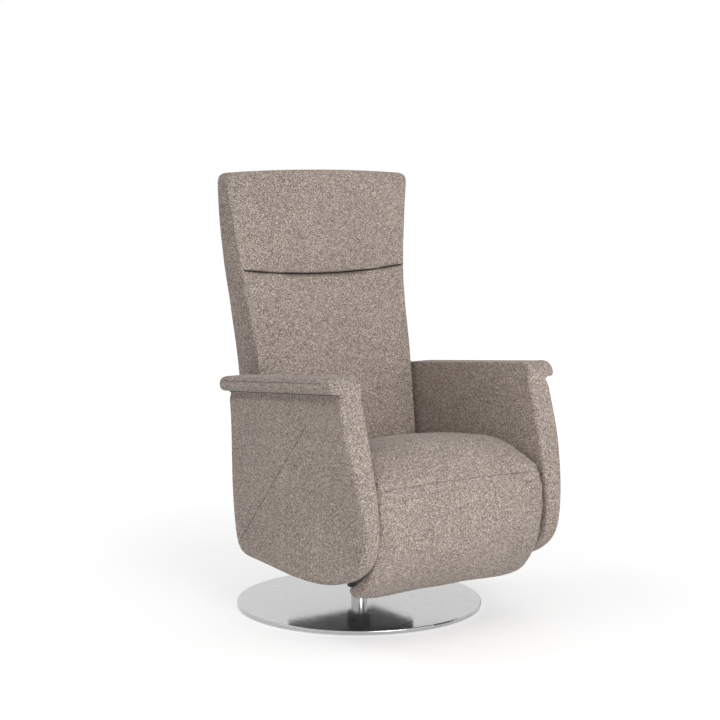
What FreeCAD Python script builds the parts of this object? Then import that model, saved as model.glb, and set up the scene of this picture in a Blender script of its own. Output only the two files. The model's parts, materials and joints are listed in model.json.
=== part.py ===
import FreeCAD, Part
import Sketcher
import math
import os
import re

Vector = FreeCAD.Vector
doc = FreeCAD.newDocument("swivel_lift_recliner")

# Driving sizes in millimetres and degrees; front of the chair is -Y, its swivel axis is Z
SIZES = [
    ("floor_pad_diameter", 600, "grip pad under the plate"),
    ("floor_pad_thickness", 2, "grip pad under the plate"),
    ("plate_diameter", 630, "polished base plate"),
    ("plate_thickness", 10, "polished base plate"),
    ("plate_edge_radius", 3, "rounding of the upper rim"),
    ("column_rise", 34, "plate top to swivel bearing"),
    ("bearing_diameter", 62, "swivel bearing under the carriage"),
    ("bearing_height", 34, "swivel bearing under the carriage"),
    ("column_diameter", 42, "bright sleeve round the spindle"),
    ("spindle_diameter", 30, "fixed spindle"),
    ("thread_diameter", 20, "threaded end of the spindle"),
    ("base_bolt_diameter", 16, "bolt from under the plate"),
    ("base_bolt_head", 28, "head diameter"),
    ("base_bolt_head_height", 5, "head height"),
    ("base_bolt_depth", 30, "thread length in the spindle"),
    ("washer_thickness", 2, "thrust washer under the carriage"),
    ("top_washer_diameter", 52, "washer over the hub"),
    ("top_washer_thickness", 3, "washer over the hub"),
    ("nut_size", 34, "spindle nut over corners"),
    ("nut_height", 12, "spindle nut"),
    ("running_gap", 0.05, "radial gap of a turning or sliding fit"),
    ("fit_gap", 0.3, "gap between fixed neighbours"),
    ("side_gap", 1.5, "gap beside moving plates"),
    ("housing_width", 274, "carriage box across"),
    ("housing_front", 50, "carriage box ahead of the axis"),
    ("housing_rear", 126, "carriage box behind the axis"),
    ("housing_height", 46, "carriage box"),
    ("sheet_thickness", 4, "carriage box sheet"),
    ("hub_diameter", 60, "hub tube"),
    ("hub_height", 44, "hub tube above the carriage floor"),
    ("bush_wall", 5, "hub bush"),
    ("bush_length", 30, "hub bush"),
    ("bush_flange", 2, "collar of the upper bush"),
    ("lift_hinge_ahead", 150, "lift axis ahead of the swivel axis"),
    ("lift_hinge_rise", 40, "lift axis above the carriage bottom"),
    ("lift_pin_diameter", 16, "lift axis pin"),
    ("ear_spacing", 192, "between the hinge ears"),
    ("ear_thickness", 8, "hinge ear"),
    ("ear_height", 64, "hinge ear"),
    ("ear_nose", 24, "hinge ear ahead of the pin"),
    ("hanger_thickness", 6, "lift hanger plate"),
    ("hanger_width", 50, "lift hanger plate"),
    ("strut_clearance", 8, "rear strut inside the carriage box wall"),
    ("strut_width", 30, "rear strut across"),
    ("stop_rise", 10, "stop pad above the carriage box"),
    ("rail_height", 285, "underside of the seat rails"),
    ("rail_depth", 40, "seat rail"),
    ("rail_width", 25, "seat rail"),
    ("rail_wall", 2, "tube wall"),
    ("spacer_width", 20, "block between seat rail and arm"),
    ("rail_front", 380, "rail ends ahead of the axis"),
    ("rail_rear", 60, "rail ends behind the axis"),
    ("cross_width", 25, "cross tube"),
    ("rear_cross_inset", 30, "rear cross tube ahead of the rail ends"),
    ("webbing_thickness", 4, "seat strap"),
    ("webbing_width", 48, "seat strap"),
    ("webbing_first", 340, "front strap ahead of the axis"),
    ("webbing_pitch", 72, "strap spacing"),
    ("seat_half", 243, "half width of the seat"),
    ("seat_front", 430, "seat nose ahead of the axis"),
    ("seat_top", 445, "seat edge height"),
    ("seat_crown", 22, "rise of the seat middle"),
    ("seat_edge_drop", 14, "fall of the seat at its side edges"),
    ("seat_nose_rise", 58.7, "nose underside above the cushion bottom"),
    ("seat_nose_bevel", 8, "eased lower corner of the nose"),
    ("seat_back_gap", 4, "between seat and back"),
    ("legrest_setback", 18, "leg rest axis behind the seat nose"),
    ("legrest_round", 13, "rolled top of the leg rest"),
    ("legrest_half", 244, "half width of the leg rest"),
    ("legrest_belly", 441, "fullest point ahead of the axis"),
    ("legrest_belly_height", 300, "fullest point above the floor"),
    ("legrest_bottom", 116, "lower edge above the floor"),
    ("legrest_toe", 345, "lower edge ahead of the axis"),
    ("legrest_board_half", 205, "half width of the board"),
    ("legrest_board_thickness", 12, "board"),
    ("legrest_board_low", 215, "board bottom above the floor"),
    ("legrest_plate", 6, "leg rest hinge plate"),
    ("legrest_pin_diameter", 8, "leg rest hinge pin"),
    ("push_drop", 111, "push head below the leg rest axis"),
    ("push_diameter", 24, "push head"),
    ("legrest_drive_angle", 30, "leg rest drive above level"),
    ("arm_inner", 250, "arm inside face from the middle"),
    ("arm_thickness", 58, "arm panel"),
    ("arm_front_top", 370, "arm front edge at the cap"),
    ("arm_belly", 446, "arm fullest point ahead of the axis"),
    ("arm_belly_height", 315, "arm fullest point above the floor"),
    ("arm_bottom", 144, "arm underside above the floor"),
    ("arm_rear_low", 98, "arm rear edge near the bottom"),
    ("arm_rear_top", 131, "arm rear edge at the cap"),
    ("arm_top_front", 604, "cap underside at the front"),
    ("arm_top_rear", 562, "cap underside at the rear"),
    ("arm_edge_radius", 12, "rounding of the arm edges"),
    ("cap_thickness", 39, "arm cap"),
    ("cap_overhang", 28, "cap beyond the arm outside"),
    ("cap_tail", 9, "cap beyond the arm rear edge"),
    ("arm_bolt_diameter", 8, "bolt from rail to arm"),
    ("arm_bolt_bite", 30, "bolt length in the arm"),
    ("front_bolt", 270, "front arm bolt ahead of the axis"),
    ("rear_bolt", 60, "rear arm bolt ahead of the axis"),
    ("rear_panel_y", 120, "rear panel inside face"),
    ("rear_panel_thickness", 12, "rear panel"),
    ("rear_panel_low", 156, "rear panel bottom above the floor"),
    ("rear_panel_gap", 19, "rear panel top below the back axis"),
    ("inlet_diameter", 22, "charge inlet"),
    ("inlet_height", 205, "charge inlet above the floor"),
    ("back_hinge_y", 88, "back axis behind the swivel axis"),
    ("back_pin_diameter", 12, "back hinge pin"),
    ("back_plate", 6, "back hinge plates"),
    ("back_lean", 10, "lean of the back frame"),
    ("frame_offset", 8, "back frame behind its axis"),
    ("frame_depth", 20, "back frame tubes"),
    ("upright_width", 12, "back upright"),
    ("upright_drop", 54, "back uprights end below the head axis"),
    ("back_foot_gap", 27, "upholstered back starts above its axis"),
    ("bar_height", 30, "back cross bars"),
    ("back_drive_x", 70, "back drive off the middle"),
    ("back_pin_drop", 63, "fork pin below the back axis"),
    ("lever_plate", 6, "lever plate"),
    ("lever_front", 6, "lever ahead of the back axis"),
    ("lever_length", 98, "lever below the back axis"),
    ("slot_travel", 20, "lever slot beyond its play"),
    ("back_drive_length", 290, "back drive from case end to fork pin"),
    ("legrest_drive_length", 235, "leg rest drive from case end to push head"),
    ("fork_pin_diameter", 10, "drive pins"),
    ("slot_play", 4, "play of the drive pins"),
    ("rod_diameter", 18, "drive rods"),
    ("tube_diameter", 36, "drive tubes"),
    ("gear_size", 44, "drive gear cases"),
    ("gear_start", 22, "gear case from the drive pivot"),
    ("gear_length", 38, "gear case along the drive"),
    ("motor_step", 38, "gear case sideways to the motor"),
    ("motor_length", 72, "motor beyond the gear case"),
    ("eye_radius", 13, "eye of the lift drive"),
    ("lift_drive_x", 60, "lift drive off the middle"),
    ("lift_motor_y", 100, "lift drive pivot behind the axis"),
    ("lift_motor_rise", 25, "lift drive pivot above the carriage bottom"),
    ("lift_eye_drop", 27, "lift eye below the rails"),
    ("crease_height", 857, "underside of the head section"),
    ("crease_gap", 1, "between head section and back"),
    ("head_axis_y", 170, "head axis behind the swivel axis"),
    ("head_roll", 16, "rolled lower edge of the head section"),
    ("head_plate", 6, "head hinge plates"),
    ("head_plate_x", 150, "head hinge plates from the middle"),
    ("head_pin_diameter", 8, "head hinge pin"),
    ("head_board_y", 196, "head board front face"),
    ("head_board_thickness", 10, "head board"),
    ("head_board_top", 1062, "head board top above the floor"),
    ("head_board_half", 205, "half width of the head board"),
    ("back_top", 1098, "top corners of the back"),
    ("back_top_crown", 14, "rise of the top edge in the middle"),
    ("back_corner", 12, "rounding of the upright back edges"),
    ("panel_length", 132, "switch panel"),
    ("panel_height", 44, "switch panel"),
    ("panel_depth", 10, "switch panel in the arm"),
    ("panel_proud", 3, "switch panel out of the arm"),
    ("panel_y", 270, "switch panel middle ahead of the axis"),
    ("panel_z", 540, "switch panel middle above the floor"),
    ("rocker_length", 26, "rocker key"),
    ("rocker_width", 18, "rocker key"),
    ("rocker_thickness", 7, "rocker key"),
    ("rocker_pitch", 40, "rocker spacing"),
    ("rocker_play", 0.8, "gap round a rocker"),
    ("trunnion_diameter", 5, "rocker trunnion"),
]

# Outline of the back at seven heights: height, half width, front edge, crown, rear face
# The lowest height follows the back axis
BACK_STATIONS = [
    (None, 243, 66, 6, 155),
    (480, 243, 83, 12, 177),
    (640, 244, 110, 14, 200),
    (790, 250, 147, 10, 222),
    (880, 256, 165, 8, 233),
    (1000, 268, 179, 11, 231),
    (1114, 281, 188, 5, 216),
]
for number, row in enumerate(BACK_STATIONS, 1):
    for word, value in zip(("height", "half", "front", "crown", "rear"), row):
        if value is not None:
            SIZES.append((f"back_{word}_{number}", value, f"back outline, station {number}"))

sheet = doc.addObject("Spreadsheet::Sheet", "Sizes")
for line, (word, value, meaning) in enumerate(SIZES, 1):
    sheet.set(f"A{line}", word)
    sheet.set(f"B{line}", str(value))
    sheet.set(f"C{line}", meaning)
    sheet.setAlias(f"B{line}", word)
size_words = {word for word, _, _ in SIZES}

# Places worked out from the driving sizes
PLACES = [
    ("plate_top", "floor_pad_thickness + plate_thickness"),
    ("head_seat", "floor_pad_thickness + base_bolt_head_height + 0.5"),
    ("bearing_bottom", "plate_top + column_rise"),
    ("housing_bottom", "bearing_bottom + bearing_height"),
    ("housing_floor_top", "housing_bottom + sheet_thickness"),
    ("housing_top", "housing_bottom + housing_height"),
    ("hub_top", "housing_floor_top + hub_height"),
    ("shoulder", "hub_top + bush_flange + fit_gap"),
    ("spindle_radius", "spindle_diameter / 2"),
    ("bush_radius", "spindle_radius + running_gap + bush_wall"),
    ("housing_side", "housing_width / 2"),
    ("lift_y", "-lift_hinge_ahead"),
    ("lift_z", "housing_bottom + lift_hinge_rise"),
    ("ear_inner", "ear_spacing / 2"),
    ("ear_outer", "ear_inner + ear_thickness"),
    ("hanger_inner", "ear_outer + side_gap"),
    ("hanger_outer", "hanger_inner + hanger_thickness"),
    ("rail_top", "rail_height + rail_depth"),
    ("rail_outer", "arm_inner - spacer_width"),
    ("rail_inner", "rail_outer - rail_width"),
    ("rear_cross_end", "rail_rear - rear_cross_inset"),
    ("rear_cross_start", "rear_cross_end - cross_width"),
    ("strut_outer", "housing_side - sheet_thickness - strut_clearance"),
    ("strut_inner", "strut_outer - strut_width"),
    ("stop_top", "housing_top + stop_rise"),
    ("cushion_bottom", "rail_top + webbing_thickness + fit_gap"),
    ("nose_bottom", "cushion_bottom + seat_nose_rise"),
    ("seat_rear", "back_front_1 - back_crown_2 + back_crown_1 - seat_back_gap"),
    ("legrest_y", "legrest_setback - seat_front"),
    ("legrest_z", "nose_bottom - side_gap - legrest_round"),
    ("legrest_back", "legrest_y + legrest_round"),
    ("board_back", "legrest_back + legrest_board_thickness"),
    ("push_y", "board_back + push_diameter / 2 + fit_gap"),
    ("push_z", "legrest_z - push_drop"),
    ("legrest_plate_outer", "legrest_board_half + legrest_plate"),
    ("legrest_bracket_inner", "legrest_plate_outer + side_gap"),
    ("legrest_bracket_outer", "legrest_bracket_inner + legrest_plate"),
    ("back_z", "rail_top"),
    ("back_plate_outer", "rail_outer - side_gap"),
    ("back_plate_inner", "back_plate_outer - back_plate"),
    ("upright_inner", "back_plate_inner - upright_width"),
    ("bracket_outer", "rail_outer + back_plate"),
    ("frame_rear", "frame_offset + frame_depth"),
    ("fork_z", "back_z - back_pin_drop"),
    ("lever_inner", "rod_diameter / 2 + side_gap"),
    ("lever_outer", "lever_inner + lever_plate"),
    ("fork_local_y", "back_pin_drop * sin(back_lean)"),
    ("fork_local_z", "-back_pin_drop * cos(back_lean)"),
    ("gear_end", "gear_start + gear_length"),
    ("rod_start", "gear_end + 8"),
    ("lift_motor_z", "housing_bottom + lift_motor_rise"),
    ("lift_eye_y", "(rear_cross_start + rear_cross_end) / 2"),
    ("lift_eye_z", "rail_height - lift_eye_drop"),
    ("lift_lean", "atan((lift_motor_y - lift_eye_y) / (lift_eye_z - lift_motor_z))"),
    ("lift_reach", "(lift_eye_z - lift_motor_z) / cos(lift_lean)"),
    ("head_axis_z", "crease_height + head_roll"),
    ("head_behind", "head_axis_y - back_hinge_y"),
    ("head_above", "head_axis_z - back_z"),
    ("head_local_y", "head_behind * cos(back_lean) - head_above * sin(back_lean)"),
    ("head_local_z", "head_behind * sin(back_lean) + head_above * cos(back_lean)"),
    ("upright_length", "head_local_z - upright_drop"),
    ("back_height_1", "back_z + back_foot_gap"),
    ("head_plate_outer", "head_plate_x + head_plate"),
    ("head_arm_inner", "head_plate_outer + side_gap"),
    ("head_arm_outer", "head_arm_inner + head_plate"),
    ("arm_outer", "arm_inner + arm_thickness"),
    ("rear_panel_top", "back_z - rear_panel_gap"),
    ("panel_face", "panel_proud - arm_inner"),
    ("rocker_axis_x", "panel_face - 1"),
]
places = doc.addObject("App::VarSet", "Places")
place_words = {word for word, _ in PLACES}


def link(formula):
    """Turn the plain names of a formula into references to the two tables."""
    def reference(found):
        word = found.group(0)
        if word in size_words:
            return "Sizes." + word
        if word in place_words:
            return "Places." + word
        return word
    return re.sub(r"[a-z][a-z_0-9]*", reference, str(formula))


for word, formula in PLACES:
    places.addProperty("App::PropertyFloat", word, "Places", "")
    places.setExpression(word, link(formula))
doc.recompute()


class Numbers:
    """Reads a size or a place by its name."""

    def __getattr__(self, word):
        if word in size_words:
            return float(sheet.get(word))
        return float(getattr(places, word))


at = Numbers()


def move(item, x="0", y="0", z="0"):
    for axis, formula in zip("xyz", (x, y, z)):
        item.setExpression("Placement.Base." + axis, link(formula))
    return item


def box(name, x_span, y_span, z_span):
    """A block between two formulas on each axis."""
    item = doc.addObject("Part::Box", name)
    spans = (x_span, y_span, z_span)
    for size, axis, (low, high) in zip(("Length", "Width", "Height"), "xyz", spans):
        item.setExpression(size, link(f"({high}) - ({low})"))
        item.setExpression("Placement.Base." + axis, link(low))
    return item


TURNS = {
    "x": FreeCAD.Rotation(Vector(0, 1, 0), 90),
    "y": FreeCAD.Rotation(Vector(1, 0, 0), -90),
    "z": FreeCAD.Rotation(),
}


def cylinder(name, axis, radius, span, centre):
    """A cylinder along one axis; centre holds the two other coordinates in x, y, z order."""
    item = doc.addObject("Part::Cylinder", name)
    item.Placement.Rotation = TURNS[axis]
    low, high = span
    item.setExpression("Radius", link(radius))
    item.setExpression("Height", link(f"({high}) - ({low})"))
    base = list(centre)
    base.insert("xyz".index(axis), low)
    return move(item, *base)


def fuse(name, items):
    item = doc.addObject("Part::MultiFuse", name)
    item.Shapes = items
    return item


def cut(name, base, tool):
    item = doc.addObject("Part::Cut", name)
    item.Base = base
    item.Tool = tool
    return item


def group(name, items):
    item = doc.addObject("Part::Compound", name)
    item.Links = items
    return item


def mirror(name, item):
    copy = doc.addObject("Part::Mirroring", name)
    copy.Source = item
    copy.Normal = Vector(1, 0, 0)
    return copy


def pair(name, item):
    """The piece on the +X side together with its mirror image."""
    return group(name, [item, mirror(name + "_other", item)])


def tube(name, axis, outer, inner, span, centre):
    return cut(name, cylinder(name + "_outside", axis, outer, span, centre),
               cylinder(name + "_bore", axis, inner, span, centre))


def turn(item, direction, angle, y, z, x="0"):
    """Lean a piece built at the origin about X and carry it to its pivot."""
    item.Placement.Rotation = FreeCAD.Rotation(Vector(direction, 0, 0), 5)
    item.setExpression("Placement.Rotation.Angle", link(angle))
    return move(item, x, y, z)


def lean_back(item):
    """Carry a piece of the back frame, built at its hinge, to the leaning back."""
    return turn(item, -1, "back_lean", "back_hinge_y", "back_z")


def new_body(name):
    return doc.addObject("PartDesign::Body", name)


def new_sketch(body, name, role):
    sketch = body.newObject("Sketcher::SketchObject", name)
    plane = [f for f in body.Origin.OriginFeatures if f.Role == role][0]
    sketch.AttachmentSupport = [(plane, "")]
    sketch.MapMode = "FlatFace"
    return sketch


def sketch_circle(sketch, radius):
    circle = sketch.addGeometry(Part.Circle(Vector(), Vector(0, 0, 1), 10), False)
    sketch.addConstraint(Sketcher.Constraint("Coincident", circle, 3, -1, 1))
    index = sketch.addConstraint(Sketcher.Constraint("Radius", circle, 10))
    sketch.setExpression(f"Constraints[{index}]", link(radius))


def sketch_rectangle(sketch, width, height):
    corners = [Vector(-5, -5, 0), Vector(5, -5, 0), Vector(5, 5, 0), Vector(-5, 5, 0)]
    lines = [sketch.addGeometry(Part.LineSegment(a, b), False)
             for a, b in zip(corners, corners[1:] + corners[:1])]
    for first, second in zip(lines, lines[1:] + lines[:1]):
        sketch.addConstraint(Sketcher.Constraint("Coincident", first, 2, second, 1))
    for line, word in zip(lines, ("Horizontal", "Vertical", "Horizontal", "Vertical")):
        sketch.addConstraint(Sketcher.Constraint(word, line))
    sketch.addConstraint(Sketcher.Constraint("Symmetric", lines[0], 1, lines[1], 2, -1, 1))
    across = sketch.addConstraint(Sketcher.Constraint("DistanceX", lines[0], 1, lines[0], 2, 10))
    along = sketch.addConstraint(Sketcher.Constraint("DistanceY", lines[1], 1, lines[1], 2, 10))
    sketch.setExpression(f"Constraints[{across}]", link(width))
    sketch.setExpression(f"Constraints[{along}]", link(height))


def pad(body, sketch, length):
    item = body.newObject("PartDesign::Pad", body.Name + "_pad")
    item.Profile = sketch
    item.setExpression("Length", link(length))
    return item


def pocket(body, sketch, depth):
    """A recess cut upwards from the sketch plane."""
    item = body.newObject("PartDesign::Pocket", body.Name + "_pocket")
    item.Profile = sketch
    item.Reversed = True
    item.setExpression("Length", link(depth))
    return item


def rounded_block(name, length, width, height, radius):
    """A block centred on its place with its four upright edges rounded."""
    body = new_body(name)
    sketch = new_sketch(body, name + "_outline", "XY_Plane")
    sketch_rectangle(sketch, length, width)
    block = pad(body, sketch, height)
    doc.recompute()
    edges = [f"Edge{n}" for n, e in enumerate(block.Shape.Edges, 1)
             if abs(e.Vertexes[0].Z - e.Vertexes[1].Z) > 1]
    fillet = body.newObject("PartDesign::Fillet", name + "_rounding")
    fillet.Base = (block, edges)
    fillet.setExpression("Radius", link(radius))
    return body


nodes = {}


def node(name, item):
    item.Label = name
    nodes[name] = item
    return item


def solid_node(name, shape):
    """A soft piece whose form is built with Part functions from the two tables."""
    item = doc.addObject("Part::Feature", name)
    item.Shape = shape
    return node(name, item)


# Base: plate, sleeve and spindle
node("floor_pad", cylinder("grip_pad", "z", "floor_pad_diameter / 2", ("0", "floor_pad_thickness"),
                           ("0", "0")))

plate = new_body("plate")
disc_outline = new_sketch(plate, "disc_outline", "XY_Plane")
sketch_circle(disc_outline, "plate_diameter / 2")
disc = pad(plate, disc_outline, "plate_thickness")
hole_outline = new_sketch(plate, "hole_outline", "XY_Plane")
sketch_circle(hole_outline, "base_bolt_diameter / 2 + fit_gap")
pocket(plate, hole_outline, "plate_thickness + 1")
counterbore_outline = new_sketch(plate, "counterbore_outline", "XY_Plane")
sketch_circle(counterbore_outline, "base_bolt_head / 2 + 1")
counterbore = pocket(plate, counterbore_outline, "base_bolt_head_height + 0.5")
doc.recompute()
rim = [f"Edge{n}" for n, e in enumerate(counterbore.Shape.Edges, 1)
       if e.BoundBox.XLength > at.plate_diameter - 1 and e.BoundBox.ZMax > at.plate_thickness - 0.1]
rim_rounding = plate.newObject("PartDesign::Fillet", "rim_rounding")
rim_rounding.Base = (counterbore, [rim[0]])
rim_rounding.setExpression("Radius", link("plate_edge_radius"))
node("base_plate", move(plate, "0", "0", "floor_pad_thickness"))

node("base_bolt", fuse("bolt", [
    cylinder("bolt_head", "z", "base_bolt_head / 2",
             ("head_seat - base_bolt_head_height", "head_seat"), ("0", "0")),
    cylinder("bolt_shank", "z", "base_bolt_diameter / 2",
             ("head_seat", "plate_top + base_bolt_depth - 2"), ("0", "0")),
]))
node("column_sleeve", tube("sleeve", "z", "column_diameter / 2", "spindle_radius + fit_gap",
                           ("plate_top", "bearing_bottom - washer_thickness"), ("0", "0")))
thrust_washer = tube("thrust", "z", "column_diameter / 2", "spindle_radius + fit_gap",
                     ("bearing_bottom - washer_thickness", "bearing_bottom"), ("0", "0"))
spindle_blank = fuse("spindle_blank", [
    cylinder("spindle_shaft", "z", "spindle_radius", ("plate_top", "shoulder"), ("0", "0")),
    cylinder("spindle_thread", "z", "thread_diameter / 2",
             ("shoulder", "shoulder + top_washer_thickness + nut_height + 3"), ("0", "0")),
])
node("spindle", cut("spindle_bored", spindle_blank, cylinder(
    "spindle_bore", "z", "base_bolt_diameter / 2", ("plate_top", "plate_top + base_bolt_depth"), ("0", "0"))))
top_washer = tube("top_ring", "z", "top_washer_diameter / 2", "thread_diameter / 2 + fit_gap",
                  ("shoulder", "shoulder + top_washer_thickness"), ("0", "0"))
node("spindle_washers", group("washers", [thrust_washer, top_washer]))
nut_blank = doc.addObject("Part::Prism", "nut_blank")
nut_blank.Polygon = 6
nut_blank.setExpression("Circumradius", link("nut_size / 2"))
nut_blank.setExpression("Height", link("nut_height"))
move(nut_blank, "0", "0", "shoulder + top_washer_thickness")
node("spindle_nut", cut("nut", nut_blank, cylinder(
    "nut_bore", "z", "thread_diameter / 2",
    ("shoulder + top_washer_thickness", "shoulder + top_washer_thickness + nut_height"), ("0", "0"))))

# Turning carriage with its hub, hinge ears and stops
floor_blank = box("carriage_floor", ("-housing_side", "housing_side"), ("-housing_front", "housing_rear"),
                  ("housing_bottom", "housing_floor_top"))
carriage_floor = cut("carriage_floor_bored", floor_blank, cylinder(
    "carriage_bore", "z", "bush_radius", ("housing_bottom", "housing_floor_top"), ("0", "0")))
wall_heights = ("housing_floor_top", "housing_top")
inner_side = "housing_side - sheet_thickness"
node("carriage_box", group("carriage_sheets", [
    carriage_floor,
    box("wall_left", (inner_side, "housing_side"), ("-housing_front", "housing_rear"), wall_heights),
    box("wall_right", ("-housing_side", "sheet_thickness - housing_side"), ("-housing_front", "housing_rear"),
        wall_heights),
    box("wall_front", ("sheet_thickness - housing_side", inner_side),
        ("-housing_front", "sheet_thickness - housing_front"), wall_heights),
    box("wall_rear", ("sheet_thickness - housing_side", inner_side),
        ("housing_rear - sheet_thickness", "housing_rear"), wall_heights),
]))
node("hub_tube", group("hub_rings", [
    tube("bearing", "z", "bearing_diameter / 2", "bush_radius", ("bearing_bottom", "housing_bottom"),
         ("0", "0")),
    tube("hub", "z", "hub_diameter / 2", "bush_radius", ("housing_floor_top", "hub_top"), ("0", "0")),
]))
lower_bush = tube("lower_bush", "z", "bush_radius", "spindle_radius + running_gap",
                  ("bearing_bottom", "bearing_bottom + bush_length"), ("0", "0"))
upper_span = ("hub_top - bush_length", "hub_top + bush_flange")
upper_blank = fuse("upper_bush_blank", [
    cylinder("upper_bush_sleeve", "z", "bush_radius", upper_span, ("0", "0")),
    cylinder("upper_bush_collar", "z", "hub_diameter / 2 - 2",
             ("hub_top", "hub_top + bush_flange"), ("0", "0")),
])
upper_bush = cut("upper_bush", upper_blank, cylinder(
    "upper_bush_bore", "z", "spindle_radius + running_gap", upper_span, ("0", "0")))
node("hub_bushes", group("bushes", [lower_bush, upper_bush]))
ear_blank = box("ear_blank", ("ear_inner", "ear_outer"), ("lift_y - ear_nose", "-housing_front"),
                ("lift_z - ear_nose", "housing_bottom + ear_height"))
ear = cut("ear", ear_blank, cylinder("ear_hole", "x", "lift_pin_diameter / 2", ("ear_inner", "ear_outer"),
                                     ("lift_y", "lift_z")))
lift_stub = cylinder("lift_stub", "x", "lift_pin_diameter / 2", ("ear_inner - 4", "hanger_outer + 4"),
                     ("lift_y", "lift_z"))
lift_axle = pair("lift_stubs", lift_stub)
strut_across = ("strut_inner", "strut_outer")
strut_along = ("rear_cross_start", "rear_cross_end")
node("stop_pads", pair("pads", box("pad", strut_across, strut_along, ("housing_floor_top", "stop_top"))))
clevis_gap = "gear_size / 2 - 6 + side_gap"
clevis_span = (clevis_gap, clevis_gap + " + 6")
clevis_blank = box("clevis_blank", clevis_span, ("lift_motor_y - 14", "lift_motor_y + 14"),
                   ("housing_floor_top", "lift_motor_z + 14"))
clevis_plate = cut("clevis_plate", clevis_blank, cylinder(
    "clevis_hole", "x", "fork_pin_diameter / 2", clevis_span, ("lift_motor_y", "lift_motor_z")))
clevis = move(pair("clevis", clevis_plate), "-lift_drive_x")
node("carriage_lugs", group("carriage_lug_plates", [pair("ears", ear), clevis]))
motor_axle = cylinder("motor_axle", "x", "fork_pin_diameter / 2",
                      ("-lift_drive_x - gear_size / 2 - 5", "-lift_drive_x + gear_size / 2 + 5"),
                      ("lift_motor_y", "lift_motor_z"))
node("carriage_pins", group("carriage_axles", [lift_axle, motor_axle]))

# Drives, built along +Z from their pivot or gear case and carried into place afterwards

def drive_case(name, tube_end, eye):
    """Gear case with motor beside it and the tube that guides the rod; with an eye the motor is in front."""
    gear_ys = ("-gear_size / 2", "gear_size / 2 + motor_step")
    motor_y = "gear_size / 2 + motor_step / 2"
    if eye:
        gear_ys = ("-gear_size / 2 - motor_step", "gear_size / 2")
        motor_y = "-gear_size / 2 - motor_step / 2"
    solids = [
        box(name + "_gear", ("-gear_size / 2", "gear_size / 2"), gear_ys, ("gear_start", "gear_end")),
        cylinder(name + "_tube", "z", "tube_diameter / 2", ("gear_end - 4", tube_end), ("0", "0")),
        cylinder(name + "_motor", "z", "tube_diameter / 2", ("gear_end - 4", "gear_end + motor_length"),
                 ("0", motor_y)),
    ]
    if eye:
        eye_span = ("6 - gear_size / 2", "gear_size / 2 - 6")
        solids.append(cylinder(name + "_eye", "x", "eye_radius", eye_span, ("0", "0")))
        solids.append(box(name + "_neck", eye_span, ("-eye_radius", "eye_radius"), ("0", "gear_start + 2")))
    blank = fuse(name + "_blank", solids)
    holes = [cylinder(name + "_bore", "z", "rod_diameter / 2 + running_gap",
                      ("gear_end + 4", tube_end + " + 1"), ("0", "0"))]
    if eye:
        holes.append(cylinder(name + "_eye_hole", "x", "fork_pin_diameter / 2 + running_gap",
                              ("-gear_size", "gear_size"), ("0", "0")))
    return cut(name, blank, group(name + "_holes", holes))


lift_case = drive_case("lift_case", "lift_reach - 18", True)
node("lift_motor", turn(lift_case, 1, "lift_lean", "lift_motor_y", "lift_motor_z", "-lift_drive_x"))
lift_rod_blank = fuse("lift_rod_blank", [
    cylinder("lift_rod_shaft", "z", "rod_diameter / 2", ("rod_start", "lift_reach - 6"), ("0", "0")),
    cylinder("lift_rod_eye", "x", "fork_pin_diameter / 2 + slot_play + 5", ("-8", "8"), ("0", "lift_reach")),
])
lift_rod = cut("lift_rod_bored", lift_rod_blank, cylinder(
    "lift_rod_hole", "x", "fork_pin_diameter / 2 + slot_play", ("-8", "8"), ("0", "lift_reach")))
node("lift_rod", turn(lift_rod, 1, "lift_lean", "lift_motor_y", "lift_motor_z", "-lift_drive_x"))

# Seat frame: tubes, hangers, struts, brackets and straps
def square_tube(name, x_span, y_span, z_span, along):
    """A tube with two open ends along x or y."""
    spans = {"x": x_span, "y": y_span, "z": z_span}
    inside = dict(spans)
    for axis in spans:
        if axis != along:
            low, high = spans[axis]
            inside[axis] = (f"{low} + rail_wall", f"{high} - rail_wall")
    return cut(name, box(name + "_outside", *spans.values()), box(name + "_inside", *inside.values()))


rail_heights = ("rail_height", "rail_top")
bolt_places = ["-front_bolt", "-rear_bolt"]


def bolt_holes(name, x_span, play):
    return group(name, [cylinder(f"{name}_{n}", "x", f"arm_bolt_diameter / 2 + {play}", x_span,
                                 (y, "(rail_height + rail_top) / 2")) for n, y in enumerate(bolt_places)])


rail_across = ("rail_inner", "rail_outer")
rail_blank = square_tube("rail_blank", rail_across, ("-rail_front", "rail_rear"), rail_heights, "y")
rail = cut("rail", rail_blank, bolt_holes("rail_holes", rail_across, "fit_gap"))
node("seat_rails", pair("rails", rail))
cross_places = [
    ("-rail_front", "cross_width - rail_front"),
    ("lift_y - cross_width / 2", "lift_y + cross_width / 2"),
    ("rear_cross_start", "rear_cross_end"),
]
node("cross_tubes", group("crosses", [
    square_tube(f"cross_{n}", ("-rail_inner", "rail_inner"), y_span, rail_heights, "x")
    for n, y_span in enumerate(cross_places)]))
hanger_span = ("hanger_inner", "hanger_outer")
hanger_blank = fuse("hanger_blank", [
    box("hanger_plate", hanger_span, ("lift_y - hanger_width / 2", "lift_y + hanger_width / 2"),
        ("lift_z", "rail_height")),
    cylinder("hanger_foot", "x", "hanger_width / 2", hanger_span, ("lift_y", "lift_z")),
])
hanger = cut("hanger", hanger_blank, cylinder(
    "hanger_hole", "x", "lift_pin_diameter / 2 + running_gap", hanger_span, ("lift_y", "lift_z")))
node("rear_struts", pair("struts", box("strut", strut_across, strut_along, ("stop_top", "rail_height"))))
lug_span = ("8 + side_gap", "14 + side_gap")
lug_blank = box("lug_blank", lug_span, strut_along, ("lift_eye_z - 10", "rail_height"))
lug = cut("lug", lug_blank, cylinder(
    "lug_hole", "x", "fork_pin_diameter / 2", lug_span, ("lift_eye_y", "lift_eye_z")))
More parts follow.
